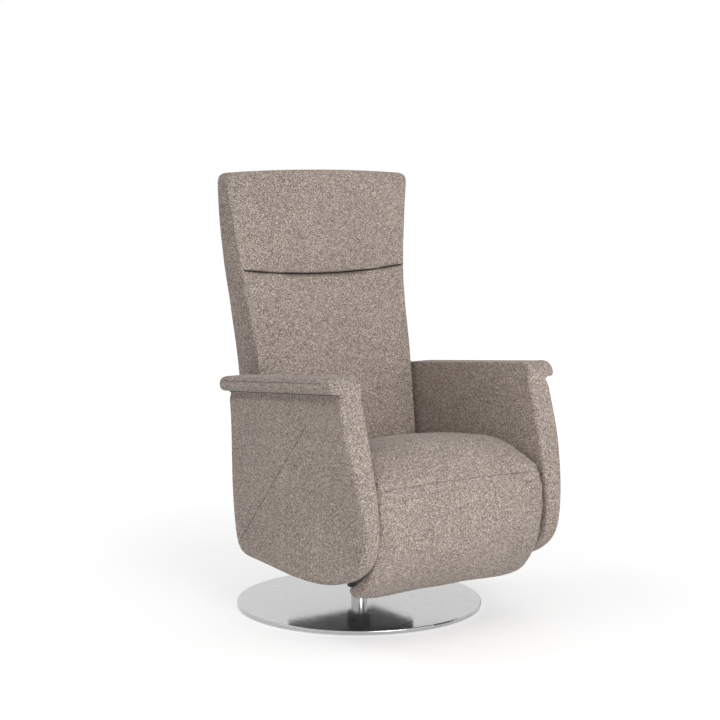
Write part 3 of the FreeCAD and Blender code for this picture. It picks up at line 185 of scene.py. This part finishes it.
def strap_weave(name):
    """Dark ribbed strap."""
    material, tree, shader = new_material(name)
    ribs = texture(tree, "ShaderNodeTexWave", 90, Distortion=0.6, Detail=2.0)
    tree.links.new(ramp(tree, ribs.outputs["Fac"], [(0.2, grey(0.04)), (0.8, grey(0.13))]),
                   shader.inputs["Base Color"])
    bump(tree, shader, ribs.outputs["Fac"], 0.0008, 0.6)
    shader.inputs["Roughness"].default_value = 0.9
    return material


CLOTH = tweed("tweed")
SEAM = tweed("seam_thread", 0.55)
# Painted shade: a much darker copy of the tweed, for the back's crease and the hollow under each arm cap
CREASE_SHADE = tweed("crease_shade", 0.16)
# Painted shade: a darker copy of the tweed, for the sides of the back
SIDE_PAINTED_SHADE = tweed("side_painted_shade", 0.84)
MATERIALS = {
    "fabric": CLOTH,
    "polished_steel": metal("polished_steel", (0.50, 0.49, 0.50), (0.55, 0.54, 0.55), 0.12, 60, (1, 1, 1),
                            metallic=0.86),
    "bare_steel": metal("turned_steel", grey(0.50), grey(0.62), 0.26, 240, (1, 1, 12)),
    "black_steel": coated("black_powder", grey(0.040), grey(0.065), 0.48, 700, 0.0003),
    "plywood": plywood("beech_ply"),
    "black_plastic": coated("black_moulding", grey(0.028), grey(0.045), 0.55, 900, 0.0003),
    "pale_plastic": coated("pale_moulding", (0.60, 0.59, 0.54), (0.70, 0.69, 0.64), 0.45, 500, 0.0002),
    "key_plastic": coated("key_moulding", grey(0.10), grey(0.15), 0.42, 800, 0.0002),
    "black_rubber": coated("rubber", grey(0.018), grey(0.034), 0.85, 500, 0.0005),
    "webbing": strap_weave("seat_strap"),
}
for entry in frame["record"]["subparts"]:
    mesh = NODES[entry["node"]].data
    mesh.materials.clear()
    mesh.materials.append(MATERIALS[entry["material_slot"]])
NODES["column_sleeve"].data.materials[0] = metal("chrome_column", grey(0.60), grey(0.66), 0.06, 90, (1, 1, 6))


# Soft pieces: helpers
def add_object(name, mesh, material):
    """A new piece in the scene."""
    item = bpy.data.objects.new(name, mesh)
    scene.collection.objects.link(item)
    mesh.materials.append(material)
    return item


def bake(item):
    """Turn the modifiers of a piece into its mesh."""
    graph = bpy.context.evaluated_depsgraph_get()
    mesh = bpy.data.meshes.new_from_object(item.evaluated_get(graph))
    item.modifiers.clear()
    item.data = mesh


def coordinates(mesh):
    """Places of the vertices of a mesh, one row each."""
    flat = np.zeros(len(mesh.vertices) * 3)
    mesh.vertices.foreach_get("co", flat)
    return flat.reshape(-1, 3)


def upright_plate(work, outline, first_x, second_x):
    """A plate across X with an outline of (y, z) points, added to a mesh in work."""
    near = [work.verts.new((first_x, y, z)) for y, z in outline]
    far = [work.verts.new((second_x, y, z)) for y, z in outline]
    work.faces.new(near)
    work.faces.new(far[::-1])
    for n in range(len(outline)):
        after = (n + 1) % len(outline)
        work.faces.new((near[n], far[n], far[after], near[after]))


def skin(name, node_names, voxel, relax, plates=()):
    """One closed skin round copies of some CAD solids and added plates, eased by a few smoothing passes."""
    work = bmesh.new()
    for node in node_names:
        work.from_mesh(NODES[node].data)
    for plate in plates:
        upright_plate(work, *plate)
    bmesh.ops.recalc_face_normals(work, faces=work.faces)
    bmesh.ops.remove_doubles(work, verts=work.verts, dist=0.00002)
    mesh = bpy.data.meshes.new(name)
    work.to_mesh(mesh)
    work.free()
    item = add_object(name, mesh, CLOTH)
    cover = item.modifiers.new("cover", "REMESH")
    cover.mode = "VOXEL"
    cover.voxel_size = voxel
    bake(item)
    ease = item.modifiers.new("ease", "SMOOTH")
    ease.factor = 0.5
    ease.iterations = relax
    bake(item)
    return item


PUFF_STEPS = 20
SHEET_THICKNESS = 0.001


def puff(item, pressure, cap, held=None):
    """Swell a skin as stuffed cloth; held tells how firmly a seam keeps each point, cap the largest move."""
    start = coordinates(item.data)
    cloth = item.modifiers.new("cloth", "CLOTH")
    settings = cloth.settings
    settings.use_pressure = True
    settings.uniform_pressure_force = pressure
    settings.effector_weights.gravity = 0
    settings.quality = 4
    settings.tension_stiffness = 20
    settings.compression_stiffness = 20
    cloth.collision_settings.use_collision = False
    cloth.point_cache.frame_start = 1
    cloth.point_cache.frame_end = PUFF_STEPS
    if held is not None:
        group = item.vertex_groups.new(name="held")
        for index in np.nonzero(held > 0.01)[0]:
            group.add([int(index)], float(held[index]), "REPLACE")
        settings.vertex_group_mass = "held"
    for step in range(1, PUFF_STEPS + 1):
        scene.frame_set(step)
    graph = bpy.context.evaluated_depsgraph_get()
    swollen = item.evaluated_get(graph).to_mesh()
    move = coordinates(swollen) - start
    item.evaluated_get(graph).to_mesh_clear()
    item.modifiers.remove(cloth)
    scene.frame_set(1)
    length = np.linalg.norm(move, axis=1, keepdims=True)
    move *= np.minimum(1, cap / np.maximum(length, 1e-9))
    item.data.vertices.foreach_set("co", (start + move).ravel())
    item.data.update()


def finish_soft(item, relax):
    """Smooth shading and one subdivision after some smoothing passes."""
    ease = item.modifiers.new("ease", "SMOOTH")
    ease.factor = 0.5
    ease.iterations = relax
    fine = item.modifiers.new("fine", "SUBSURF")
    fine.levels = 1
    bake(item)
    item.data.polygons.foreach_set("use_smooth", [True] * len(item.data.polygons))


def cloth_sheet(name, grid):
    """A sheet of cloth through lines of points, with thickness, one subdivision and smooth shading."""
    work = bmesh.new()
    lines = [[work.verts.new(point) for point in line] for line in grid]
    for near, far in zip(lines, lines[1:]):
        for n in range(len(near) - 1):
            work.faces.new((near[n], far[n], far[n + 1], near[n + 1]))
    mesh = bpy.data.meshes.new(name)
    work.to_mesh(mesh)
    work.free()
    item = add_object(name, mesh, CLOTH)
    thick = item.modifiers.new("thick", "SOLIDIFY")
    thick.thickness = SHEET_THICKNESS
    thick.offset = -1
    fine = item.modifiers.new("fine", "SUBSURF")
    fine.levels = 1
    bake(item)
    item.data.polygons.foreach_set("use_smooth", [True] * len(item.data.polygons))
    return item


def skin_tree(*items):
    """A search tree over pieces, to lay seams on them."""
    work = bmesh.new()
    for item in items:
        work.from_mesh(item.data)
    tree = BVHTree.FromBMesh(work)
    work.free()
    return tree


def lay(tree, points, direction):
    """Carry points onto a skin along a direction."""
    laid = []
    for point in points:
        hit = tree.ray_cast(Vector(point), Vector(direction))[0]
        if hit is not None:
            laid.append(hit)
    return laid


def seam(name, points, body, radius, material=SEAM):
    """A thin cord of cloth half sunk in the cover: a stitched line; in the dark crease cloth, a line of
    painted shade.
    """
    curve = bpy.data.curves.new(name, "CURVE")
    curve.dimensions = "3D"
    spline = curve.splines.new("POLY")
    spline.points.add(len(points) - 1)
    for target, point in zip(spline.points, points):
        target.co = (*point, 1)
    curve.bevel_depth = radius
    curve.bevel_resolution = 2
    line = bpy.data.objects.new(name + "_line", curve)
    scene.collection.objects.link(line)
    graph = bpy.context.evaluated_depsgraph_get()
    mesh = bpy.data.meshes.new_from_object(line.evaluated_get(graph))
    bpy.data.objects.remove(line)
    item = add_object(name, mesh, material)
    mesh.polygons.foreach_set("use_smooth", [True] * len(mesh.polygons))
    if body:
        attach(item, body)
    return item


def smooth_step(share):
    """Ease from 0 to 1."""
    share = min(1.0, max(0.0, share))
    return share * share * (3 - 2 * share)


def span(low, high, count):
    """Evenly spaced values from low to high."""
    return [low + (high - low) * n / (count - 1) for n in range(count)]


# Back and head: one upholstered form through seven outlines, creased across the front
BACK = [
    # height, half width, front edge, crown, rear face
    (0.352, 0.243, 0.066, 0.006, 0.155),
    (0.480, 0.243, 0.079, 0.012, 0.177),
    (0.640, 0.246, 0.102, 0.014, 0.200),
    (0.790, 0.255, 0.139, 0.010, 0.222),
    (0.880, 0.264, 0.157, 0.008, 0.233),
    (1.000, 0.278, 0.171, 0.011, 0.231),
    (1.114, 0.291, 0.180, 0.005, 0.216),
]
CREASE = 0.862
SAG = 0.017
SAG_REACH = 0.05
TOP = 1.105
TOP_CROWN = 0.008
CROWN_HALF = 0.262
CROWN_START = 0.75
TOP_CORNER = 0.024
END_ROUNDING = 0.011
EDGE_RADIUS = 0.006
SIDE_TAPER = 0.007
REAR_RADIUS = 0.012
REAR_CROWN = 0.005
FRONT_POINTS = 49
SIDE_POINTS = 8
RIGHT_SIDE = range(51, 62)
LEFT_SIDE = range(120, 132)
HEAD_HINGE_X = 0.153
HINGE_REACH = 0.036
HINGE_FADE = 0.024
HINGE_EASE = 0.74
CREASE_DEPTH = 0.019
PINCH_ABOVE = 0.0022
PINCH_BELOW = 0.0065
ROLL_DEPTH = 0.004
ROLL_ABOVE = 0.013
ROLL_BELOW = 0.035
ROLL_CREST = 0.03
SEWN_REACH = 0.009
DARK_BELOW = 0.0045
DARK_ABOVE = 0.0012
NEARLY = 0.001


def corner_arc(centre, radius, first):
    """Six points round a quarter turn from an angle in degrees."""
    angles = [math.radians(first + turn) for turn in range(0, 91, 18)]
    return [(centre[0] + radius * math.cos(angle), centre[1] + radius * math.sin(angle)) for angle in angles]


def back_section(height):
    """Half width, front, crown and rear of the back at a height, on a smooth curve through the outlines."""
    rows = np.array(BACK)
    place = float(np.interp(height, rows[:, 0], range(len(rows))))
    lower = min(int(place), len(rows) - 2)
    share = place - lower
    four = [rows[min(max(n, 0), len(rows) - 1)] for n in range(lower - 1, lower + 3)]
    slope_in = (four[2] - four[0]) / 2
    slope_out = (four[3] - four[1]) / 2
    rise = 3 * share ** 2 - 2 * share ** 3
    row = (four[1] * (1 - rise) + four[2] * rise + slope_in * (share - 2 * share ** 2 + share ** 3)
           + slope_out * (share ** 3 - share ** 2))
    return row[1:]


def back_ring(height, inset):
    """Points round the back at a height; inset draws the ring in for rounded ends."""
    half, front, crown, rear = back_section(height)
    above = max(0.0, height - TOP + TOP_CORNER)
    half -= TOP_CORNER - math.sqrt(TOP_CORNER ** 2 - above ** 2)
    front, rear = front + inset, rear - inset
    front_half = half - SIDE_TAPER
    flat = front_half - EDGE_RADIUS
    ring = [(x, front - crown * (1 - (x / flat) ** 2)) for x in span(-flat, flat, FRONT_POINTS)]
    ring += corner_arc((flat, front + EDGE_RADIUS), EDGE_RADIUS, -90)[1:]
    side_y = span(front + EDGE_RADIUS, rear - REAR_RADIUS, SIDE_POINTS + 2)[1:-1]
    side_x = span(front_half, half, SIDE_POINTS + 2)[1:-1]
    ring += list(zip(side_x, side_y))
    reach = half - REAR_RADIUS
    ring += corner_arc((reach, rear - REAR_RADIUS), REAR_RADIUS, 0)
    ring += [(x, rear + REAR_CROWN * (1 - (x / reach) ** 2)) for x in span(reach, -reach, FRONT_POINTS)[1:-1]]
    ring += corner_arc((-reach, rear - REAR_RADIUS), REAR_RADIUS, 90)
    ring += [(-x, y) for x, y in zip(side_x[::-1], side_y[::-1])]
    ring += corner_arc((-flat, front + EDGE_RADIUS), EDGE_RADIUS, 180)[:-1]
    return ring


def back_rings():
    """Heights and insets of the rings from foot to top, close together round the crease."""
    foot = BACK[0][0]
    heights = span(foot + END_ROUNDING, CREASE - 0.03, 56)
    heights += span(CREASE - 0.027, CREASE + 0.027, 37)
    heights += span(CREASE + 0.032, TOP - END_ROUNDING, 26)
    rings = []
    for turn in range(80, -1, -20):
        angle = math.radians(turn)
        rings.append((foot + END_ROUNDING * (1 - math.sin(angle)), END_ROUNDING * (1 - math.cos(angle))))
    rings += [(height, 0.0) for height in heights]
    for turn in range(15, 91, 15):
        angle = math.radians(turn)
        rings.append((TOP - END_ROUNDING * (1 - math.sin(angle)), END_ROUNDING * (1 - math.cos(angle))))
    return rings


def back_point(height, x, y):
    """A point of a ring with crown, sag and crease, and whether a seam holds it."""
    half, front = back_section(height)[:2]
    foot = BACK[0][0]
    share = (height - foot) / (TOP - foot)
    across = min(1.0, abs(x) / CROWN_HALF)
    z = height + TOP_CROWN * (1 - across ** 2) * max(0.0, share - CROWN_START) / (1 - CROWN_START)
    z -= SAG * (1 - across ** 2) * math.exp(-((height - CREASE) / SAG_REACH) ** 2)
    above = height - CREASE
    front_flat = half - SIDE_TAPER - EDGE_RADIUS
    fade = max(0.0, 1 - (abs(x) / front_flat) ** 6)
    is_front = y < front + NEARLY
    on_edge = front_flat - NEARLY < abs(x) and y < front + EDGE_RADIUS + NEARLY
    pinch = math.exp(-(above / (PINCH_ABOVE if above > 0 else PINCH_BELOW)) ** 2)
    roll = math.exp(-(above / (ROLL_ABOVE if above > 0 else ROLL_BELOW)) ** 2)
    hinge = smooth_step((HINGE_REACH - abs(abs(x) - HEAD_HINGE_X)) / HINGE_FADE)
    if is_front:
        y += fade * (1 - HINGE_EASE * hinge) * (CREASE_DEPTH * pinch + ROLL_DEPTH * roll)
        y -= fade * ROLL_DEPTH * math.exp(-((above - ROLL_CREST) / ROLL_CREST) ** 2)
    return (x, y, z), on_edge or is_front and abs(above) < SEWN_REACH


def back_form():
    """The form as rings from foot to top, and how firmly seams hold its points."""
    work = bmesh.new()
    rings = back_rings()
    loops = []
    held = []
    for height, inset in rings:
        loop = []
        for x, y in back_ring(height, inset):
            place, sewn = back_point(height, x, y)
            loop.append(work.verts.new(place))
            held.append(float(sewn))
        loops.append(loop)
    for row, (low, high) in enumerate(zip(loops, loops[1:])):
        in_crease = -DARK_BELOW < rings[row][0] - CREASE < DARK_ABOVE
        for n in range(len(low)):
            after = (n + 1) % len(low)
            face = work.faces.new((low[n], low[after], high[after], high[n]))
            # Painted shade: the front faces in the crease take the dark crease cloth
            if in_crease and n < FRONT_POINTS - 1:
                face.material_index = 1
            # Painted shade: the side faces of the back take the darker copy of the cloth
            elif n in RIGHT_SIDE or n in LEFT_SIDE:
                face.material_index = 2
    for loop, order in ((loops[0], -1), (loops[-1], 1)):
        middle = sum((v.co for v in loop), Vector()) / len(loop)
        inner = [work.verts.new(middle.lerp(v.co, 0.5)) for v in loop]
        hub = work.verts.new(middle)
        held += [0.0] * (len(loop) + 1)
        for n in range(len(loop)):
            after = (n + 1) % len(loop)
            work.faces.new((loop[n], loop[after], inner[after], inner[n])[::order])
            work.faces.new((inner[n], inner[after], hub)[::order])
    bmesh.ops.recalc_face_normals(work, faces=work.faces)
    mesh = bpy.data.meshes.new("back_upholstery")
    work.to_mesh(mesh)
    work.free()
    item = add_object("back_upholstery", mesh, CLOTH)
    mesh.materials.append(CREASE_SHADE)
    mesh.materials.append(SIDE_PAINTED_SHADE)
    return item, np.array(held)


back, crease_hold = back_form()
puff(back, 3.0, 0.005, crease_hold)
finish_soft(back, 0)
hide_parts("back_cushion", "back_shell", "head_cushion", "head_shell")

# Seat: its rear dips under the back
SEAT_UPPER = 0.36
SEAT_SETTLE = 0.003
SEAT_DIP = 0.030
DIP_START = -0.22
DIP_LENGTH = 0.27
seat = skin("seat_upholstery", ["seat_cushion"], 0.006, 2)
puff(seat, 4.0, 0.004)
for point in seat.data.vertices:
    if point.co.z > SEAT_UPPER:
        point.co.z -= SEAT_SETTLE + SEAT_DIP * smooth_step((point.co.y - DIP_START) / DIP_LENGTH)
finish_soft(seat, 2)
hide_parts("seat_cushion")

# Leg rest: a little fuller than its solid across, with drooping lower corners
LEGREST_HALF = 0.246
LEGREST_FULLNESS = 1.012
DROOP_BELOW = 0.25
CORNER_DROOP = 0.012
legrest = skin("legrest_upholstery", ["legrest_pad"], 0.0045, 1)
puff(legrest, 3.0, 0.0025)
for point in legrest.data.vertices:
    point.co.x *= LEGREST_FULLNESS
    if point.co.z < DROOP_BELOW:
        point.co.z -= CORNER_DROOP * (abs(point.co.x) / LEGREST_HALF) ** 6
finish_soft(legrest, 1)
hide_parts("legrest_pad")

# Arms: panel and cap under one tight cover
CAP_FRONT = -0.370
CAP_LENGTH = 0.501
CAP_FRONT_HEIGHT = 0.604
CAP_FALL = 0.042
FACE_LEAN = 0.006
FACE_START = 0.262
FACE_FADE = 0.046
CAP_CLEARANCE = 0.004
CAP_FADE = 0.02
LOW_FRONT_DRAW = 0.022
FRONT_START = -0.10
FRONT_FADE = 0.30
LOW_START = 0.50
LOW_FADE = 0.25


def cap_underside(y):
    """Height of the underside of the arm cap, which falls to the rear."""
    return CAP_FRONT_HEIGHT - CAP_FALL * (y - CAP_FRONT) / CAP_LENGTH


def shape_outer_face(arm):
    """Lean the outer face of an arm out under its cap, and draw it in at its low front."""
    for point in arm.data.vertices:
        x, y, z = point.co
        outer = smooth_step((abs(x) - FACE_START) / FACE_FADE)
        below_cap = smooth_step((cap_underside(y) - CAP_CLEARANCE - z) / CAP_FADE)
        low_front = smooth_step((FRONT_START - y) / FRONT_FADE) * smooth_step((LOW_START - z) / LOW_FADE)
        outward = outer * below_cap * (FACE_LEAN - LOW_FRONT_DRAW * low_front)
        point.co.x += math.copysign(1.0, x) * outward


SIDES = (("left", 1), ("right", -1))
arms = {}
for side, sign in SIDES:
    arm = skin(side + "_arm_upholstery", [side + "_arm_panel", side + "_arm_cap"], 0.0038, 2)
    shape_outer_face(arm)
    finish_soft(arm, 1)
    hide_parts(side + "_arm_panel", side + "_arm_cap")
    arms[side] = arm

# Rear panel: its cover turns forward at both sides to meet the arms
CHEEK_BOTTOM = 0.160
CHEEK_TOP = 0.300
CHEEK_REAR = 0.126
CHEEK_TUCK = 0.010
CHEEK_INSIDE = 0.2405
CHEEK_OUTSIDE = 0.2498
ARM_INNER_EDGE = 0.256
BEHIND_PANEL = 0.4
cheeks = []
for side, sign in SIDES:
    behind = [(sign * ARM_INNER_EDGE, BEHIND_PANEL, z) for z in span(CHEEK_BOTTOM, CHEEK_TOP, 15)]
    edge = lay(skin_tree(arms[side]), behind, (0, -1, 0))
    outline = [(point.y - CHEEK_TUCK, point.z) for point in edge]
    outline += [(CHEEK_REAR, CHEEK_TOP), (CHEEK_REAR, CHEEK_BOTTOM)]
    cheeks.append((outline, sign * CHEEK_INSIDE, sign * CHEEK_OUTSIDE))
rear = skin("rear_panel_cover", ["rear_panel"], 0.0036, 2, cheeks)
finish_soft(rear, 1)
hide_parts("rear_panel")

for item in (seat, legrest, rear, *arms.values()):
    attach(item, "legrest" if item is legrest else "seat")
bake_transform(back)

# Flap that carries the cover from the seat nose over the leg rest hinge, with the seam of the nose in it
FLAP_ROWS = 40
FLAP_HALF = 0.2435
FLAP_TOP = 0.418
FLAP_BOTTOM = 0.335
FLAP_CORNER_DROP = 0.020
FLAP_TUCK = 0.0012
FLAP_PROUD = 0.0027
TUCK_ROWS = 7
BRIDGE_TURNS = 24
LEGREST_HINGE_X = 0.214
HINGE_HALF = 0.015
HINGE_PROUD = 0.0035
HINGE_BULGE = 0.014
EDGE_START = 0.237
WRAP_START = 0.2355
WRAP_WIDTH = 0.008
WRAP_DEPTH = 0.016
NOSE_SEAM_HALF = 0.236
NOSE_SEAM_HEIGHT = 0.3865
NOSE_SEAM_DROP = 0.004
BEFORE_CHAIR = -0.7
columns = [-FLAP_HALF, -0.2425, -0.240, *span(-0.2365, 0.2365, 60), 0.240, 0.2425, FLAP_HALF]


def flap_height(row, x):
    """Height of a row of the flap, whose upper corners are lower."""
    upper = FLAP_TOP - FLAP_CORNER_DROP * (abs(x) / FLAP_HALF) ** 8
    return upper + row / (FLAP_ROWS - 1) * (FLAP_BOTTOM - upper)


def flap_reach():
    """How far forward seat and leg rest come under the flap, bridged over the gap between them."""
    tree = skin_tree(seat, legrest)
    reach = np.full((FLAP_ROWS, len(columns)), np.nan)
    for r in range(FLAP_ROWS):
        for c, x in enumerate(columns):
            hit = tree.ray_cast(Vector((x, BEFORE_CHAIR, flap_height(r, x))), Vector((0, 1, 0)))[0]
            if hit is not None:
                reach[r, c] = hit.y
    outward = np.abs(columns)
    by_hinge = np.abs(outward - LEGREST_HINGE_X) < HINGE_HALF
    reach[:, by_hinge | (outward > EDGE_START)] = np.nan
    for row in reach:
        found = np.nonzero(~np.isnan(row))[0]
        row[:] = np.interp(range(len(row)), found, row[found])
    for turn in range(BRIDGE_TURNS):
        eased = reach.copy()
        eased[1:-1] = (reach[:-2] + reach[2:]) / 2
        reach = np.minimum(reach, eased)
    return reach


reach = flap_reach()
grid = []
for r in range(FLAP_ROWS):
    inside = min(1.0, min(r, FLAP_ROWS - 1 - r) / TUCK_ROWS)
    line = []
    for c, x in enumerate(columns):
        hinge = math.exp(-((abs(x) - LEGREST_HINGE_X) / HINGE_BULGE) ** 4)
        proud = inside * (FLAP_PROUD + HINGE_PROUD * hinge) - FLAP_TUCK
        wrap = WRAP_DEPTH * max(0.0, (abs(x) - WRAP_START) / WRAP_WIDTH) ** 2
        line.append((x, reach[r, c] - proud + wrap, flap_height(r, x)))
    grid.append(line)
flap = cloth_sheet("front_flap", grid)
flap_tree = skin_tree(flap)
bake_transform(flap)
nose_points = []
for x in span(-NOSE_SEAM_HALF, NOSE_SEAM_HALF, 60):
    nose_points.append((x, BEFORE_CHAIR, NOSE_SEAM_HEIGHT - NOSE_SEAM_DROP * (x / NOSE_SEAM_HALF) ** 2))
nose_seam = seam("nose_seam", lay(flap_tree, nose_points, (0, 1, 0)), None, 0.0008)
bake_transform(nose_seam)

# Under the flap, the upper edge of the leg rest keeps clear of the seat nose as it swings up
LEGREST_RETREAT = 0.0055
RETREAT_HEIGHT = 0.350
RETREAT_FRONT = -0.405
for point in legrest.data.vertices:
    high = smooth_step((point.co.z - RETREAT_HEIGHT) / 0.016)
    fore = smooth_step((RETREAT_FRONT - point.co.y) / 0.012)
    point.co.y += LEGREST_RETREAT * (high * fore)

# Strip of cloth behind, from inside the rear panel to the foot of the back
STRIP_HALF = 0.2405
STRIP_FLARE = 1.029
PATH_HEIGHTS = [0.294, 0.302, 0.3095, 0.3552, 0.3625, 0.3720]
PANEL_INSIDE = [0.1185, 0.1188, 0.1195]
FOOT_PROUD = [-0.0017, 0.0008, 0.0020]
FOOT_LINE = 0.366
BEHIND_BACK = 0.5
strip_columns = span(-STRIP_HALF, STRIP_HALF, 60)
strip_rows = [*PATH_HEIGHTS[:2], *span(PATH_HEIGHTS[2], PATH_HEIGHTS[3], 12), *PATH_HEIGHTS[4:]]
foot_rear = lay(skin_tree(back), [(x, BEHIND_BACK, FOOT_LINE) for x in strip_columns], (0, -1, 0))
grid = []
for x, foot in zip(strip_columns, foot_rear):
    path = PANEL_INSIDE + [foot.y + proud for proud in FOOT_PROUD]
    line = []
    for z in strip_rows:
        flare = float(np.interp(z, PATH_HEIGHTS[2:4], [STRIP_FLARE, 1.0]))
        line.append((x * flare, float(np.interp(z, PATH_HEIGHTS, path)), z))
    grid.append(line)
strip = cloth_sheet("rear_strip", grid)
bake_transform(strip)

# Seams of the arms: along the cap and the slanting panel seam outside; in the hollow under the cap, a dark
# cord of painted shade
BESIDE_ARM = 0.45
for side, sign in SIDES:
    tree = skin_tree(arms[side])
    inward = (-sign, 0, 0)
    along = [(sign * BESIDE_ARM, y, cap_underside(y) + 0.027) for y in span(-0.33, 0.125, 60)]
    seam(side + "_cap_seam", lay(tree, along, inward), "seat", 0.0009)
    # Painted shade: a dark cord in the hollow under the cap, in the dark crease cloth
    hollow = [(sign * BESIDE_ARM, y, cap_underside(y) - 0.001) for y in span(-0.366, 0.122, 90)]
    seam(side + "_hollow_painted_shade", lay(tree, hollow, inward), "seat", 0.0013, CREASE_SHADE)
    slant = [(sign * BESIDE_ARM, y, z) for y, z in zip(span(-0.235, 0.066, 50), span(0.520, 0.196, 50))]
    seam(side + "_slant_seam", lay(tree, slant, inward), "seat", 0.0010)

# Floor, light and camera
FLOOR_HALF = 9
FLOOR_DROP = 0.0006
floor_corners = [(FLOOR_HALF * x, FLOOR_HALF * y, 0) for x, y in ((-1, -1), (1, -1), (1, 1), (-1, 1))]
floor_mesh = bpy.data.meshes.new("floor")
floor_mesh.from_pydata(floor_corners, [], [(0, 1, 2, 3)])
floor = bpy.data.objects.new("floor", floor_mesh)
floor.location.z = -FLOOR_DROP
scene.collection.objects.link(floor)
FLOOR_TONE = 0.90
GLOW_NEAR = 0.41
GLOW_FAR = 0.57
GLOW_SCALE = 0.4
WORLD_LIGHT = 0.52


def camera_or_mirror(tree):
    """1 for rays from the camera and for mirrored or refracted ones."""
    path = tree.nodes.new("ShaderNodeLightPath")
    first = tree.nodes.new("ShaderNodeMath")
    first.operation = "MAXIMUM"
    second = tree.nodes.new("ShaderNodeMath")
    second.operation = "MAXIMUM"
    tree.links.new(path.outputs["Is Camera Ray"], first.inputs[0])
    tree.links.new(path.outputs["Is Glossy Ray"], first.inputs[1])
    tree.links.new(first.outputs[0], second.inputs[0])
    tree.links.new(path.outputs["Is Transmission Ray"], second.inputs[1])
    return second.outputs[0]


def pale_floor():
    """Matte floor with a glow for the camera and mirrors, less of it near the chair so that shadows stay."""
    material = bpy.data.materials.new("pale_floor")
    material.use_nodes = True
    tree = material.node_tree
    tree.nodes.clear()
    output = tree.nodes.new("ShaderNodeOutputMaterial")
    matte = tree.nodes.new("ShaderNodeBsdfDiffuse")
    matte.inputs["Color"].default_value = (*grey(FLOOR_TONE), 1)
    glow = tree.nodes.new("ShaderNodeEmission")
    place = tree.nodes.new("ShaderNodeTexCoord")
    shrink = tree.nodes.new("ShaderNodeMapping")
    shrink.inputs["Scale"].default_value = grey(GLOW_SCALE)
    nearness = tree.nodes.new("ShaderNodeTexGradient")
    nearness.gradient_type = "SPHERICAL"
    tree.links.new(place.outputs["Object"], shrink.inputs["Vector"])
    tree.links.new(shrink.outputs["Vector"], nearness.inputs["Vector"])
    stops = [(0.15, grey(GLOW_FAR)), (0.70, grey(GLOW_NEAR))]
    tree.links.new(ramp(tree, nearness.outputs["Fac"], stops), glow.inputs["Color"])
    tree.links.new(camera_or_mirror(tree), glow.inputs["Strength"])
    both = tree.nodes.new("ShaderNodeAddShader")
    tree.links.new(matte.outputs["BSDF"], both.inputs[0])
    tree.links.new(glow.outputs["Emission"], both.inputs[1])
    tree.links.new(both.outputs["Shader"], output.inputs["Surface"])
    return material


def studio_world():
    """Soft even light, which the camera and mirrors see as white."""
    world = bpy.data.worlds.new("studio")
    world.use_nodes = True
    tree = world.node_tree
    tree.nodes.clear()
    output = tree.nodes.new("ShaderNodeOutputWorld")
    choice = tree.nodes.new("ShaderNodeMixShader")
    tree.links.new(camera_or_mirror(tree), choice.inputs["Fac"])
    for place, strength in ((1, WORLD_LIGHT), (2, 1.0)):
        light = tree.nodes.new("ShaderNodeBackground")
        light.inputs["Color"].default_value = (1, 1, 1, 1)
        light.inputs["Strength"].default_value = strength
        tree.links.new(light.outputs["Background"], choice.inputs[place])
    tree.links.new(choice.outputs["Shader"], output.inputs["Surface"])
    return world


floor_mesh.materials.append(pale_floor())
scene.world = studio_world()


def lamp(name, place, aim, size, watts):
    """A round soft lamp that looks at a point."""
    data = bpy.data.lights.new(name, "AREA")
    data.shape = "DISK"
    data.size = size
    data.energy = watts
    item = bpy.data.objects.new(name, data)
    item.location = place
    item.rotation_euler = (Vector(aim) - Vector(place)).to_track_quat("-Z", "Y").to_euler()
    scene.collection.objects.link(item)


lamp("key", (-0.7, -4.0, 1.6), (0, -0.1, 0.5), 2.4, 69)
lamp("rear_left", (-2.0, 1.5, 3.0), (0, 0, 0.3), 1.3, 11)

camera_data = bpy.data.cameras.new("camera")
camera_data.sensor_width = 36
camera_data.lens = 84.0
camera = bpy.data.objects.new("camera", camera_data)
camera.location = (-2.4359, -3.4788, 1.1028)
camera.rotation_euler = (math.radians(83.661), 0, math.radians(-35.026))
scene.collection.objects.link(camera)
scene.camera = camera
scene.view_settings.view_transform = "Standard"

bpy.context.view_layer.update()
